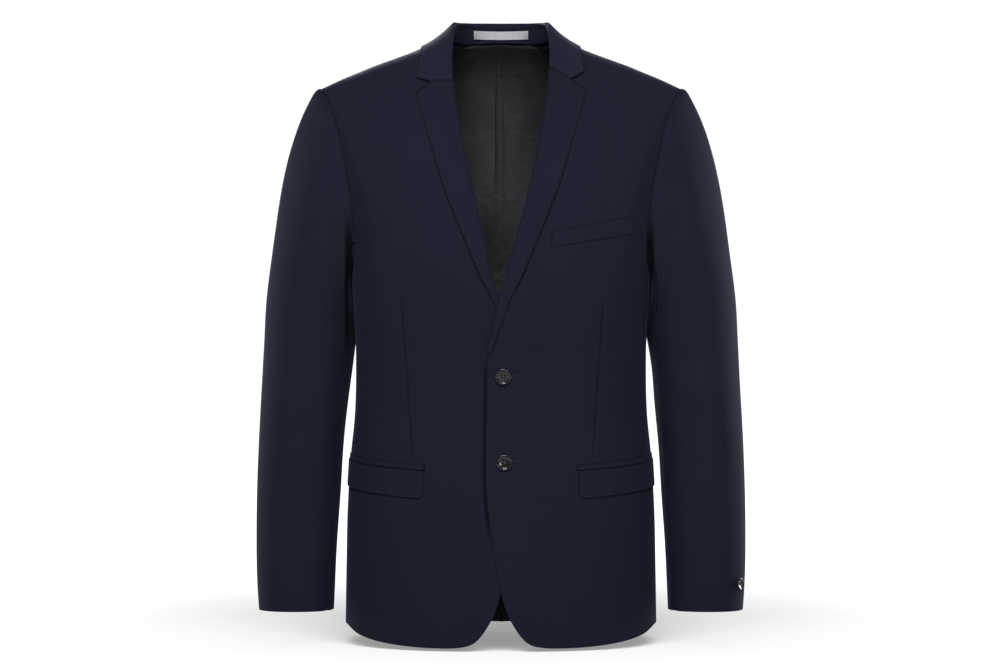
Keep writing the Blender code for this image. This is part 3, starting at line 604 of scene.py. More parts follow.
def shapeBy(piece, depthAt):
    # moves both layers of the cloth together, out (+) or in (-)
    mesh = piece.data
    places = vertexPlaces(mesh)
    outward = outwardOf(piece)
    setPlaces(mesh, places + outward * depthAt(places, outward)[:, None])


def setUv(mesh, across, up):
    # uv in metres, the same at a vertex in all its faces
    loops = np.zeros(len(mesh.loops), np.int32)
    mesh.loops.foreach_get("vertex_index", loops)
    mesh.uv_layers.new(name="cloth").data.foreach_set("uv", np.stack([across, up], 1)[loops].ravel())


def wrapUv(piece, axis, across):
    # round the body or sleeve, and up it
    places = vertexPlaces(piece.data)
    axisX, axisY = axis(places[:, 2])
    middle = places.mean(0)
    startX, startY = axis(np.array([middle[2]]))
    facingAngle = math.atan2(middle[0] - startX[0], -(middle[1] - startY[0]))
    angle = np.arctan2(places[:, 0] - axisX, -(places[:, 1] - axisY)) - facingAngle
    angle = (angle + math.pi) % (2 * math.pi) - math.pi
    setUv(piece.data, angle * across, places[:, 2])


def flatUv(piece, lean):
    # for a piece that lies flat against the front, with its grain leaning
    places = vertexPlaces(piece.data)
    turn = math.radians(lean)
    across = places[:, 0] * math.cos(turn) + places[:, 2] * math.sin(turn)
    up = -places[:, 0] * math.sin(turn) + places[:, 2] * math.cos(turn)
    setUv(piece.data, across + places[:, 1], up)


def markOn(piece, name, amountAt):
    # "band" is 1 where the inside shows the outer cloth turned in; "shade" is painted shade that darkens
    # the cloth
    attribute = piece.data.attributes.new(name, "FLOAT", "POINT")
    attribute.data.foreach_set("value", amountAt(vertexPlaces(piece.data)).astype(np.float32))


sewn = {}  # every finished cloth piece, by the name of its CAD node


def clothPiece(nodeName, look):
    # the CAD node's own form, merged, given rounded edges and made smooth
    corner = math.radians(clothTools["cornerTurn"])
    mesh = frame["nodes"][nodeName].data.copy()
    piece = newObject("cloth_" + nodeName, mesh)
    mesh.materials.clear()
    onlySelect(piece)
    bpy.ops.object.mode_set(mode="EDIT")
    bpy.ops.mesh.select_all(action="SELECT")
    bpy.ops.mesh.remove_doubles(threshold=0.00001)
    bpy.ops.mesh.tris_convert_to_quads(face_threshold=corner, shape_threshold=math.radians(80))
    bpy.ops.object.mode_set(mode="OBJECT")
    for attributeName in ("UVMap", "sharp_face", "custom_normal"):
        if attributeName in mesh.attributes:
            mesh.attributes.remove(mesh.attributes[attributeName])
    sortLayers(piece, look["axis"])
    finishedMesh(piece, "BEVEL", width=look["edge"], segments=1, limit_method="ANGLE",
                 angle_limit=corner, material=2)
    roundOff(piece, look["levels"])
    if "creases" in look:
        shapeBy(piece, lambda places, outward: creaseDepth(places, -outward[:, 1], look["creases"]))
    if "lean" in look:
        flatUv(piece, look["lean"])
    else:
        wrapUv(piece, look["axis"], look["across"])
    for marked in ("band", "shade"):
        if marked in look:
            markOn(piece, marked, look[marked])
    for slotIndex, material in enumerate(look["materials"]):
        piece.data.materials[slotIndex] = material
    smoothShade(piece, clothTools["cornerTurn"])
    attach(piece, "root")
    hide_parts(nodeName)
    sewn[nodeName] = piece


print("body of the jacket")

bodyCloth = {
    "axis": axisOfBody,
    "across": 0.165,  # metres round for each radian, for the grain
    "levels": 2,
    "edge": 0.0006,
    "materials": (navyCloth, liningCloth, navyCloth),  # outside, inside, edges
    "slot": "navy_cloth",
}
turnUps = {  # where the cloth turned up inside begins, for each piece
    "front": -0.690,
    "side": -0.680,
    "back": -0.688,
    "sleeve": -0.648,
    "line": 0.004,
}
frontFacing = {"width": 0.072, "wider": 0.03, "from": -0.35, "over": 0.2}
armShade = {
    # painted shade in the narrow space between the body and the sleeve, from the armhole down to where they
    # part
    "left": 0.1824,  # metres from the middle of the jacket
    "right": 0.1862,
    "halfWidth": 0.0052,
    "soft": 0.0035,
    "top": -0.195,
    "topFade": 0.05,
    "foot": -0.41,
    "footFade": 0.06,
    # it widens and comes in toward the middle on the way down
    "widensFrom": -0.20,
    "over": 0.15,
    "wider": 0.0038,
    "in": 0.0010,
}


def turnUp(start):
    # the hem or cuff turned up inside
    return lambda places: smoothStep((start - places[:, 2]) / turnUps["line"] + 0.5)


def frontInside(places):
    # the turned-up hem, and the facing down the front edge
    width = frontFacing["width"] + frontFacing["wider"] * smoothStep(
        (places[:, 2] - frontFacing["from"]) / frontFacing["over"])
    facing = smoothStep((width - np.abs(places[:, 0])) / turnUps["line"] + 0.5)
    return np.maximum(turnUp(turnUps["front"])(places), facing)


# painted shade between the body and the sleeve
def paintedArmShade(places):
    x, heights = places[:, 0], places[:, 2]
    down = np.clip((armShade["widensFrom"] - heights) / armShade["over"], 0.0, 1.0)
    middle = np.where(x > 0.0, armShade["left"], armShade["right"]) - armShade["in"] * down
    halfWidth = armShade["halfWidth"] + armShade["wider"] * down
    near = smoothStep((halfWidth - np.abs(np.abs(x) - middle)) / armShade["soft"])
    fromFoot = smoothStep((heights - armShade["foot"]) / armShade["footFade"])
    return near * fromFoot * smoothStep((armShade["top"] - heights) / armShade["topFade"])


# creases are (width, depth, *points) in millimetres
fronts = {
    "front_left": [
        (9, -0.7, (14, -392), (46, -378), (84, -340)),
        (10, 0.6, (22, -412), (60, -420), (104, -438)),
        (9, -0.5, (20, -500), (58, -492), (92, -470)),
        (14, -1.4, (128, -70), (140, -130), (146, -190)),
        (12, 0.7, (112, -96), (122, -150)),
        (20, -1.0, (60, -560), (66, -640), (58, -712)),
        (18, 0.9, (110, -548), (118, -620), (112, -700)),
        (13, 0.5, (28, -600), (33, -660)),
    ],
    "front_right": [
        (10, -0.8, (-24, -398), (-58, -374), (-90, -352)),
        (9, 0.6, (-24, -424), (-66, -436), (-110, -430)),
        (10, -0.5, (-26, -504), (-70, -486)),
        (13, -1.5, (-130, -66), (-143, -128), (-149, -196)),
        (13, 0.8, (-116, -104), (-120, -160)),
        (22, -1.1, (-70, -552), (-62, -640), (-68, -706)),
        (17, 0.8, (-120, -556), (-112, -640), (-119, -696)),
        (12, -0.4, (-36, -560), (-40, -620)),
    ],
}
for name, creases in fronts.items():
    clothPiece(name, dict(bodyCloth, band=frontInside, shade=paintedArmShade, creases={"front": creases}))

for name in ("side_panel_left", "side_panel_right"):
    clothPiece(name, dict(bodyCloth, band=turnUp(turnUps["side"]), shade=paintedArmShade))

centreBack = (3.6, -1.0, (0, 300), (0, -1100))  # the seam down the middle, pressed in
backs = {
    "back_left": [
        (16, 1.6, (40, -96), (84, -118), (124, -132)),
        (13, -1.3, (60, -150), (104, -168), (140, -190)),
        (14, -1.6, (10, -300), (60, -330), (116, -318)),
        (12, 1.2, (20, -362), (80, -384), (122, -372)),
        (20, -1.8, (66, -500), (74, -600), (64, -690)),
        (16, 1.2, (106, -520), (116, -640)),
    ],
    "back_right": [
        (15, 1.5, (-34, -90), (-80, -120), (-130, -128)),
        (14, -1.5, (-54, -158), (-110, -172), (-144, -204)),
        (13, -1.5, (-14, -316), (-70, -326), (-110, -340)),
        (13, 1.3, (-30, -376), (-78, -370), (-124, -392)),
        (21, -1.6, (-58, -484), (-70, -590), (-76, -684)),
        (15, 1.4, (-112, -540), (-104, -660)),
    ],
}
for name, creases in backs.items():
    look = dict(bodyCloth, band=turnUp(turnUps["back"]))
    clothPiece(name, dict(look, creases={"back": creases + [centreBack]}))

print("sleeves")

sleeveCloth = dict(bodyCloth, across=0.062, band=turnUp(turnUps["sleeve"]), shade=paintedArmShade)
sleeves = {
    "left": {
        "front": [
            (11, -1.6, (204, -150), (218, -196), (214, -250)),
            (12, 1.0, (224, -128), (238, -176), (240, -232)),
            (10, -1.7, (196, -368), (224, -388), (262, -384)),
            (9, 1.4, (200, -402), (232, -424), (268, -430)),
            (10, -1.5, (204, -440), (236, -452), (262, -470)),
            (9, 0.9, (212, -484), (240, -494), (272, -490)),
            (14, -0.9, (246, -540), (252, -590), (246, -640)),
            (12, 0.8, (222, -560), (228, -620), (234, -664)),
        ],
        "back": [
            (14, -1.8, (222, -180), (236, -240), (232, -300)),
            (10, 1.8, (226, -396), (248, -416), (270, -410)),
            (10, -1.8, (220, -440), (246, -448), (276, -462)),
            (14, 1.2, (230, -520), (250, -560), (262, -620)),
        ],
    },
    "right": {
        "front": [
            (12, -1.5, (-202, -146), (-214, -200), (-212, -262)),
            (12, 1.1, (-226, -122), (-240, -180), (-236, -240)),
            (10, -1.5, (-198, -376), (-228, -392), (-258, -380)),
            (10, 1.5, (-202, -412), (-230, -436), (-270, -440)),
            (9, -1.6, (-206, -456), (-240, -468), (-266, -492)),
            (10, 0.9, (-214, -498), (-242, -506), (-268, -498)),
            (13, -1.0, (-244, -548), (-254, -600), (-250, -652)),
            (12, 0.7, (-226, -556), (-230, -610), (-238, -660)),
        ],
        "back": [
            (14, -1.7, (-224, -190), (-238, -250), (-230, -310)),
            (10, 1.7, (-222, -404), (-250, -410), (-274, -422)),
            (11, -1.9, (-224, -446), (-250, -460), (-278, -456)),
            (13, 1.1, (-232, -530), (-254, -570), (-260, -610)),
        ],
    },
}
armholeRidge = {  # fills the under sleeve out to the body, below the armhole
    "left": (12, 1.9, (8, -262), (20, -298), (24, -348)),
    "right": (12, 2.1, (8, -258), (20, -296), (26, -346)),
}
for part in ("top_sleeve_", "under_sleeve_"):
    for side, creases in sleeves.items():
        look = dict(sleeveCloth, axis=axisOfSleeve(side), creases=dict(creases))
        if part == "under_sleeve_":
            look["creases"]["side"] = [armholeRidge[side]]
        clothPiece(part + side, look)

print("lapels and collar")

# the turned pieces' edges carry painted shade
turnedCloth = dict(bodyCloth, materials=(navyCloth, navyCloth, pressedEdge), edge=0.0005)
lapels = {
    # the grain's lean, and a ridge that lifts the outer edge off the front
    "lapel_left": {
        "lean": -22.0,
        "ridge": (10, 2.2, (94, -91), (82, -129), (54, -212), (36, -258), (13, -309), (-5, -331)),
    },
    "lapel_right": {
        "lean": 22.0,
        "ridge": (10, 2.4, (-94, -91), (-82, -129), (-54, -212), (-36, -258), (-13, -308), (2, -324)),
    },
}
for name, lapel in lapels.items():
    clothPiece(name, dict(turnedCloth, lean=lapel["lean"], creases={"front": [lapel["ridge"]]}))

narrowed = {  # low in the opening the right lapel is folded back a little narrower
    "at": -0.300,
    "spread": 0.042,
    "share": 0.33,
    "reach": 0.06,  # how far past the lapel's outer edge the cloth still moves
    # the outer edge, as (z, x) in millimetres from its foot up, and how it leans below the foot
    "edge": [(-308.0, -12.8), (-285.0, -24.7), (-258.0, -36.0), (-212.0, -54.5), (-129.0, -82.5)],
    "leanBelow": 0.55,
}
lapelEdge = np.array(narrowed["edge"]) / 1000.0
footZ, footX = lapelEdge[0]
for name in ("front_right", "lapel_right"):
    mesh = sewn[name].data
    places = vertexPlaces(mesh)
    heights = places[:, 2]
    edgeX = np.interp(heights, *lapelEdge.T)
    edgeX = np.where(heights < footZ, footX - narrowed["leanBelow"] * (heights - footZ), edgeX)
    past = np.clip(places[:, 0] - edgeX, 0.0, None)
    share = narrowed["share"] * np.exp(-(((heights - narrowed["at"]) / narrowed["spread"]) ** 2))
    near = (places[:, 1] < 0.0) & (past < narrowed["reach"])
    places[:, 0] -= np.where(near, past * share * smoothStep((narrowed["reach"] - past) / 0.03), 0.0)
    setPlaces(mesh, places)

for name in ("collar_fall", "collar_stand"):
    clothPiece(name, dict(turnedCloth, materials=(collarCloth, collarCloth, pressedEdge)))

print("pockets")

pockets = {
    # the grain's lean, the look of the edges, and the front whose creases they follow
    # the flaps and jets are edged in painted shadow
    "pocket_flap_left": {"lean": 5.0, "edging": seamEdge, "over": "front_left"},
    "pocket_flap_right": {"lean": -5.0, "edging": seamEdge, "over": "front_right"},
    "pocket_jet_left": {"lean": 5.0, "edging": seamEdge, "over": "front_left"},
    "pocket_jet_right": {"lean": -5.0, "edging": seamEdge, "over": "front_right"},
    "breast_welt": {"lean": 8.0, "edging": pressedEdge, "over": "front_left"},
}
for name, pocket in pockets.items():
    look = dict(turnedCloth, lean=pocket["lean"], edge=0.0004)
    look["materials"] = (navyCloth, navyCloth, pocket["edging"])
    clothPiece(name, dict(look, creases={"front": fronts[pocket["over"]]}))

print("lining and label")


# painted shade on the lining: under the collar, along its top edge, down below the opening, and out toward
# the sides
liningShade = {
    # how dark, where it begins, and over how many metres it comes in
    "underCollar": (0.75, -0.06, 0.05),
    "topEdge": (0.97, -0.024, 0.016),
    "belowOpening": (1.0, -0.17, -0.11),
    "besidePleat": (0.4, 0.018, 0.024),
}


def insideShade(places):
    amounts = []
    for where, (amount, start, over) in liningShade.items():
        measure = np.abs(places[:, 0]) if where == "besidePleat" else places[:, 2]
        amounts.append(amount * smoothStep((measure - start) / over))
    return np.maximum.reduce(amounts)


linings = {
    "back_lining_left": [
        (3.4, -1.1, (0, -34), (-0.5, -110), (-0.5, -190)),
        (8, -1.2, (20, -8), (40, -40), (50, -90)),
        (6, -1.0, (14, -60), (22, -120), (18, -210)),
        (8, 1.2, (32, -70), (40, -140), (34, -200)),
        (7, 1.0, (12, -150), (26, -190), (30, -260)),
        (9, -1.3, (50, -110), (44, -170), (22, -250)),
    ],
    "back_lining_right": [
        (4, -1.4, (-62, -20), (-48, -11), (-30, -2)),
        (5, 0.9, (-58, -40), (-40, -26), (-22, -22)),
        (8, -1.4, (-48, -50), (-38, -100), (-44, -160)),
        (7, 1.2, (-26, -60), (-20, -120), (-28, -190)),
        (6, -1.1, (-14, -110), (-16, -180), (-10, -250)),
        (7, 1.0, (-36, -150), (-24, -210), (-14, -280)),
    ],
}
liningPiece = dict(bodyCloth, materials=(liningCloth,) * 3, slot="lining", edge=0.0003, shade=insideShade)
for name, creases in linings.items():
    clothPiece(name, dict(liningPiece, creases={"back": creases}))

tape = {"middle": 0.0227, "shows": 0.84}  # its long edges are turned under, so less of its width shows
clothPiece("neck_label", dict(turnedCloth, materials=(labelTape,) * 3, slot="label", edge=0.0002, lean=0.0))
for vertex in sewn["neck_label"].data.vertices:
    vertex.co.z = tape["middle"] + (vertex.co.z - tape["middle"]) * tape["shows"]

print("pressing and pressed seams")


def surfaceOf(pieces, layer=0):
    # the chosen layer of these pieces, to lay other things on
    corners, faces = [], []
    for piece in pieces:
        started = len(corners)
        corners += [vertex.co.copy() for vertex in piece.data.vertices]
        chosen = [face for face in piece.data.polygons if face.material_index == layer]
        faces += [[started + k for k in face.vertices] for face in chosen]
    return BVHTree.FromPolygons(corners, faces)


def pressOnto(piece, ground, share):
    # brings a piece closer to the cloth that it lies on, and thins it by as much
    surface = surfaceOf(ground)
    for vertex in piece.data.vertices:
        near, _, _, _ = surface.find_nearest(vertex.co)
        vertex.co = near + (vertex.co - near) * share


def facesFront(normal):
    return normal.y <= -0.3


def pressedSeam(piece, seam):
    # cuts one layer along a seam seen from the front, then presses the cut in and paints shade into it
    line = [Vector((x / 1000, z / 1000)) for x, z in seam["line"]]
    width, layer = seam["width"], seam.get("layer", 0)
    fadeFirst, fadeLast = seam.get("fadeAt", (0.1, 0.06))
    beyond, aside = 0.006, 0.009  # metres past the ends and to the sides in which faces are cut
    net = bmesh.new()
    net.from_mesh(piece.data)
    for first, last in zip(line[:-1], line[1:]):
        step = (last - first).normalized()
        across = Vector((step.y, 0.0, -step.x))
        for shift in (-width, -width / 2, 0.0, width / 2, width):
            near = []
            for face in net.faces:
                centre = face.calc_center_median()
                place = Vector((centre.x, centre.z)) - first
                run = place.dot(step)
                side = place.dot(Vector((across.x, across.z)))
                inReach = -beyond < run < (last - first).length + beyond and abs(side) < aside
                if inReach and face.material_index == layer and facesFront(face.normal):
                    near.append(face)
            edges = dict.fromkeys(edge for face in near for edge in face.edges)
            corners = dict.fromkeys(corner for face in near for corner in face.verts)
            middle = Vector((first.x, 0.0, first.y)) + across * shift
            bmesh.ops.bisect_plane(net, geom=[*corners, *edges, *near], dist=1e-6,
                                   plane_co=middle, plane_no=across)
    net.normal_update()
    shade = net.verts.layers.float["shade"]
    plane = np.array([(corner.co.x, corner.co.z) for corner in net.verts])
    for corner, far, along in zip(net.verts, *alongLine(plane, np.array(line))):
        onLayer = any(face.material_index == layer for face in corner.link_faces)
        if onLayer and far < width and facesFront(corner.normal):
            amount = max(0.0, min(1.0, along / fadeFirst, (1.0 - along) / fadeLast)) * (1.0 - far / width)
            corner.co -= corner.normal * seam["depth"] * amount
            corner[shade] = max(corner[shade], seam["darken"] * amount)
    net.to_mesh(piece.data)
    net.free()
    smoothShade(piece, clothTools["cornerTurn"])


# "darken" is how much painted shade each pressed line gets along its groove
pressedSeams = {
    "dartLeft": {
        "on": "front_left",
        "line": [(124.4, -307.4), (111.3, -502.6)],
        "width": 0.0019, "depth": 0.0010, "darken": 0.45,
    },
    "dartRight": {
        "on": "front_right",
        "line": [(-120.6, -307.4), (-107.0, -506.4)],
        "width": 0.0019, "depth": 0.0010, "darken": 0.45,
    },
    # the two folds of the pleat in the back lining
    "pleatRight": {
        "on": "back_lining_right", "layer": 1, "fadeAt": (0.3, 0.45),
        "line": [(-3.6, 6), (-5.8, -60), (-6.2, -206)],
        "width": 0.0020, "depth": 0.0014, "darken": 1.0,
    },
    "pleatLeft": {
        "on": "back_lining_left", "layer": 1, "fadeAt": (0.3, 0.45),
        "line": [(-1.4, -34), (3.9, -96), (4.2, -222)],
        "width": 0.0016, "depth": 0.0010, "darken": 0.35,
    },
    # painted shadow on the right front, close under the edge of the left one
    "overlap": {
        "on": "front_right",
        "line": [(-18.2, -385), (-18.6, -440), (-19.6, -500), (-19.6, -540), (-16.6, -570), (-12.2, -604)],
        "width": 0.0044, "depth": 0.0004, "darken": 0.85,
    },
}
for seam in pressedSeams.values():
    pressedSeam(sewn[seam["on"]], seam)

# the share of a pocket's own height off the front that is left
pressedFlat = {
    "pocket_flap_left": 0.62,
    "pocket_flap_right": 0.62,
    "pocket_jet_left": 0.55,
    "pocket_jet_right": 0.55,
    "breast_welt": 0.52,
}
for name, share in pressedFlat.items():
    ground = [sewn[pockets[name]["over"]]]
    if name != "breast_welt":
        ground.append(sewn["side_panel_" + name.rsplit("_", 1)[1]])
    pressOnto(sewn[name], ground, share)

print("sewing")


def threadBead(sides=6):
    # one stitch: a short rounded length of thread along x, 1 long and 1 wide
    rings = ((-0.5, 0.45), (-0.3, 1.0), (0.3, 1.0), (0.5, 0.45))
    corners, faces = [], []
    for x, radius in rings:
        for k in range(sides):
            turn = 2 * math.pi * k / sides
            corners.append(Vector((x, 0.5 * radius * math.cos(turn), 0.5 * radius * math.sin(turn))))
    for ring in range(len(rings) - 1):
        for k in range(sides):
            a, b = ring * sides + k, ring * sides + (k + 1) % sides
            faces.append((a, b, b + sides, a + sides))
    faces.append(tuple(reversed(range(sides))))
    faces.append(tuple(range(3 * sides, 4 * sides)))
    return corners, faces


def sewStitches(name, stitches):
    # each stitch is (place, direction along it, direction off the cloth, length, thickness)
    beadCorners, beadFaces = threadBead()
    corners, faces = [], []
    for place, along, off, length, thick in stitches:
        along = along.normalized()
        side = off.cross(along).normalized()
        off = along.cross(side).normalized()
        started = len(corners)
        for corner in beadCorners:
            rounded = (side * corner.y + off * corner.z) * thick
            corners.append(place + along * corner.x * length + rounded)
        faces += [tuple(started + k for k in face) for face in beadFaces]
    mesh = bpy.data.meshes.new(name)
    mesh.from_pydata(corners, [], faces)
    mesh.update()
    piece = newObject(name, mesh)
    mesh.materials.append(sewingThread)
    flatUv(piece, 0.0)
    smoothShade(piece, 60)
    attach(piece, "root")
    return piece


def outerEdge(piece):
    # the loops round the outer layer, each as a list of (place, direction into the cloth)
    net = bmesh.new()
    net.from_mesh(piece.data)
    inward = {}
    for edge in net.edges:
        kinds = [face.material_index for face in edge.link_faces]
        if len(kinds) == 2 and 0 in kinds and kinds != [0, 0]:
            face = edge.link_faces[kinds.index(0)]
            middle = (edge.verts[0].co + edge.verts[1].co) / 2
            along = (edge.verts[1].co - edge.verts[0].co).normalized()
            into = face.calc_center_median() - middle
            inward[edge] = (into - along * into.dot(along)).normalized()
    loops = []
    left = dict.fromkeys(inward)
    while left:
        edge, _ = left.popitem()
        corner = edge.verts[1]
        loop = [(edge.verts[0].co.copy(), inward[edge]), (corner.co.copy(), inward[edge])]
        while True:
            following = [other for other in corner.link_edges if other in left]
            if not following:
                break
            edge = following[0]
            left.pop(edge)
            corner = edge.other_vert(corner)
            loop.append((corner.co.copy(), inward[edge]))
        loops.append(loop)
    net.free()
    return loops


edgeStitch = {"length": 0.0026, "gap": 0.0014, "thick": 0.00034}


def stitchesAlongEdge(piece, inset, boxes):
    # stitches set in from the outer edge, wherever that is inside one of the boxes
    surface = surfaceOf([piece])
    length, thick = edgeStitch["length"], edgeStitch["thick"]
    stitches = []
    for loop in outerEdge(piece):
        travelled = 0.0
        for (first, intoFirst), (last, intoLast) in zip(loop[:-1], loop[1:]):
            step = (last - first).length
            travelled += step
            if travelled < length + edgeStitch["gap"] or step < 1e-7:
                continue
            travelled = 0.0
            middle = (first + last) / 2
            if not any(x0 < middle.x < x1 and z0 < middle.z < z1 for x0, x1, z0, z1 in boxes):
                continue
            place, off, _, _ = surface.find_nearest(middle + (intoFirst + intoLast).normalized() * inset)
            stitches.append((place + off * 0.00005, last - first, off, length, thick))
    return stitches


allRound = (-1.0, 1.0, -1.0, 1.0)
edgeSewing = {
    # the rows run this far in from the edge, in boxes of (x from, x to, z from, z to), all in metres
    "sewn_lapel_left": {"on": "lapel_left", "inset": 0.0032, "in": [(0.012, 1.0, -0.365, 1.0)]},
    "sewn_lapel_right": {"on": "lapel_right", "inset": 0.0032, "in": [(-1.0, -0.012, -0.345, 1.0)]},
    "sewn_collar": {
        "on": "collar_fall", "inset": 0.0032,
        "in": [(-1.0, 1.0, -1.0, 0.012), (-1.0, -0.09, -1.0, 1.0), (0.09, 1.0, -1.0, 1.0)],
    },
    "sewn_front_left": {
        "on": "front_left", "inset": 0.0030,
        "in": [(-0.0735, 0.10, -1.0, -0.7295), (-0.025, 0.06, -0.735, -0.386)],
    },
    "sewn_front_right": {"on": "front_right", "inset": 0.0030, "in": [(-0.06, 0.025, -0.735, -0.56)]},
    "sewn_flap_left": {"on": "pocket_flap_left", "inset": 0.0030, "in": [allRound]},
    "sewn_flap_right": {"on": "pocket_flap_right", "inset": 0.0030, "in": [allRound]},
}
sewnOn = {}  # the sewing that each cloth piece carries
for name, facts in edgeSewing.items():
    stitches = stitchesAlongEdge(sewn[facts["on"]], facts["inset"], facts["in"])
    print("   ", name, len(stitches))
    sewnOn.setdefault(facts["on"], []).append(sewStitches(name, stitches))


def seamRun(piece, points, spacing, length, thick, lean=0.0, layer=0):
    # stitches along a line of (x, z) in millimetres, laid from the front onto one layer of the piece
    surface = surfaceOf([piece], layer)
    line = [Vector((x / 1000, z / 1000)) for x, z in points]
    stitches = []
    for first, last in zip(line[:-1], line[1:]):
        step = last - first
        for k in range(int(step.length / spacing)):
            at = first + step * (k * spacing / step.length)
            place, off, _, _ = surface.ray_cast(Vector((at.x, -0.6, at.y)), Vector((0, 1, 0)))
            if place is None:
                continue
            if off.y > 0:
                off = -off
            turned = Vector((step.x, 0.0, step.y)).normalized()
            turned = turned * math.cos(lean) + turned.cross(off).normalized() * math.sin(lean)
            stitches.append((place + off * thick * 0.1, turned, off, length, thick))
    return stitches


print("buttonholes")

buttonholes = {
    "buttonhole_upper": {"from": (-8.0, -403.6), "to": (21.2, -403.2)},
    "buttonhole_lower": {"from": (-7.0, -507.0), "to": (21.6, -505.8)},
}
holeStitch = {
    "aside": 0.75,  # millimetres from the slit; the other sizes are in metres
    "spacing": 0.00042,
    "length": 0.0013,
    "thick": 0.00042,
    "roundEnd": 7,  # stitches round the outer end
}
for name, hole in buttonholes.items():
    (x0, z0), (x1, z1) = hole["from"], hole["to"]
    aside, spacing = holeStitch["aside"], holeStitch["spacing"]
    bead = (holeStitch["length"], holeStitch["thick"])
    stitches = []
    for offset in (-aside, aside):
        row = [(x0, z0 + offset), (x1, z1 + offset)]
        stitches += seamRun(sewn["front_left"], row, spacing, *bead, lean=math.radians(90))
    for k in range(holeStitch["roundEnd"]):
        turn = math.radians(-90 + 30 * k)
        across, up = math.cos(turn), math.sin(turn)
        row = [(x1 + (aside + reach) * across, z1 + (aside + reach) * up) for reach in (0.0, 0.8)]
        stitches += seamRun(sewn["front_left"], row, 0.00079, *bead)
    sewnOn["front_left"].append(sewStitches(name, stitches))

print("label ends")

tapeEnds = {"at": (-31.9, -31.0, 31.0, 31.9), "from": 18.4, "to": 27.0}
stitches = []
for x in tapeEnds["at"]:
    row = [(x, tapeEnds["from"]), (x, tapeEnds["to"])]
    stitches += seamRun(sewn["neck_label"], row, 0.0011, 0.0009, 0.0003, layer=1)
sewnOn["neck_label"] = [sewStitches("sewn_label_ends", stitches)]

print("buttons")

# one profile for all: distance from the middle and height, as shares of the radius and the thickness
buttonProfile = [
    (0.0, 0.0), (0.70, 0.0), (0.86, 0.08), (0.95, 0.26), (1.0, 0.50), (0.985, 0.72), (0.94, 0.90),
    (0.88, 0.99), (0.82, 0.97), (0.77, 0.86), (0.72, 0.72), (0.64, 0.64), (0.40, 0.60), (0.0, 0.58),
]
buttonHoles = {"out": 0.23, "radius": 0.095}  # shares of the radius
shank = {"strands": 6, "out": 0.0009, "length": 0.0022, "thick": 0.0009}
buttons = {
    "front_button_upper": {"on": "front_left", "turn": 38.0, "away": (0, -1, 0)},
    "front_button_lower": {"on": "front_left", "turn": 52.0, "away": (0, -1, 0)},
    "cuff_button_left": {"on": "top_sleeve_left", "turn": 40.0, "away": (1, -0.5, 0)},
    "cuff_button_right": {"on": "top_sleeve_right", "turn": 47.0, "away": (-1, 0.3, 0)},
}


def placeOfButton(nodeName, away):
    # where the CAD button is: middle of its back, direction off the cloth, radius and thickness
    places = vertexPlaces(frame["nodes"][nodeName].data)
    low = places.min(0)
    middle = (low + places.max(0)) / 2
    axes = np.linalg.svd(places - places.mean(0), full_matrices=False)[2]
    off = axes[2] if axes[2] @ np.array(away) > 0 else -axes[2]
    heights = (places - middle) @ off
    spread = np.linalg.norm((places - middle) - heights[:, None] * off, axis=1)
    back = middle + off * heights.min()
    return Vector(back), Vector(off), float(spread.max()), float(heights.max() - heights.min())


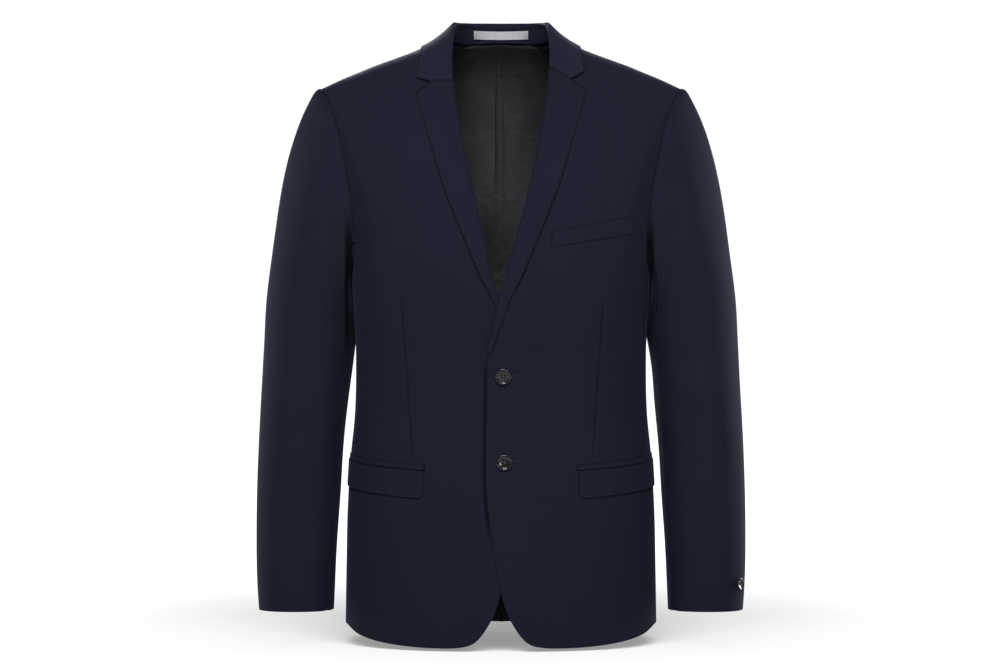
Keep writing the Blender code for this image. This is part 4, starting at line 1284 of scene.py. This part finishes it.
def turnedButton(name, radius, thickness):
    # the profile spun round, then drilled
    mesh = bpy.data.meshes.new(name)
    corners = [(r * radius, 0.0, h * thickness) for r, h in buttonProfile]
    mesh.from_pydata(corners, [(k, k + 1) for k in range(len(corners) - 1)], [])
    piece = newObject(name, mesh)
    onlySelect(piece)
    bpy.ops.object.mode_set(mode="EDIT")
    bpy.ops.mesh.select_all(action="SELECT")
    bpy.ops.mesh.spin(steps=56, angle=2 * math.pi, center=(0, 0, 0), axis=(0, 0, 1))
    bpy.ops.mesh.select_all(action="SELECT")
    bpy.ops.mesh.remove_doubles(threshold=0.00001)
    bpy.ops.mesh.normals_make_consistent(inside=False)
    bpy.ops.object.mode_set(mode="OBJECT")
    for k in range(4):
        turn = math.radians(45 + 90 * k)
        bpy.ops.object.select_all(action="DESELECT")
        out = buttonHoles["out"] * radius
        bpy.ops.mesh.primitive_cylinder_add(
            vertices=20, radius=buttonHoles["radius"] * radius, depth=3 * thickness,
            location=(out * math.cos(turn), out * math.sin(turn), thickness / 2))
        drill = bpy.context.object
        finishedMesh(piece, "BOOLEAN", operation="DIFFERENCE", solver="EXACT", object=drill)
        bpy.data.objects.remove(drill, do_unlink=True)
    finishedMesh(piece, "BEVEL", width=0.00012, segments=2, limit_method="ANGLE",
                 angle_limit=math.radians(45))
    return piece


for name, facts in buttons.items():
    back, off, radius, thickness = placeOfButton(name, facts["away"])
    button = turnedButton("turned_" + name, radius, thickness)
    turn = off.to_track_quat("Z", "Y").to_matrix().to_4x4()
    place = Matrix.Translation(back) @ turn @ Matrix.Rotation(math.radians(facts["turn"] - 45), 4, "Z")
    button.data.transform(place)
    button.data.materials.append(buttonResin)
    smoothShade(button, 40)
    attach(button, "root")
    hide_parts(name)
    # thread through the holes in two pairs, and the shank of thread behind
    stitches = []
    reach = buttonHoles["out"] * radius / math.sqrt(2)
    along = (place.to_3x3() @ Vector((0, 1, 0))).normalized()
    for side in (-1, 1):
        for strand in (-1, 0, 1):
            height = 0.63 * thickness + 0.00018 * (1 - abs(strand))
            start = Vector((side * reach + strand * 0.00028, 0.0, height))
            stitches.append((place @ start, along, off, 2 * reach + 0.0011, 0.00042))
    for k in range(shank["strands"]):
        turned = 2 * math.pi * k / shank["strands"]
        ring = Vector((shank["out"] * math.cos(turned), shank["out"] * math.sin(turned), -0.0001))
        aside = place.to_3x3() @ Vector((1, 0, 0))
        stitches.append((place @ ring, off, aside, shank["length"], shank["thick"]))
    sewnOn.setdefault(facts["on"], []).append(sewStitches("thread_" + name, stitches))

print("what each lamp lights and which pieces shade the floor")

# each lamp lights its own things, and the floor is shaded by the body alone
for thing in bpy.context.scene.objects:
    if thing.type == "MESH":
        litBy["floor" if thing == floor else "jacket"].objects.link(thing)
        if not any(word in thing.name for word in ("floor", "sleeve", "cuff")):
            shading.objects.link(thing)
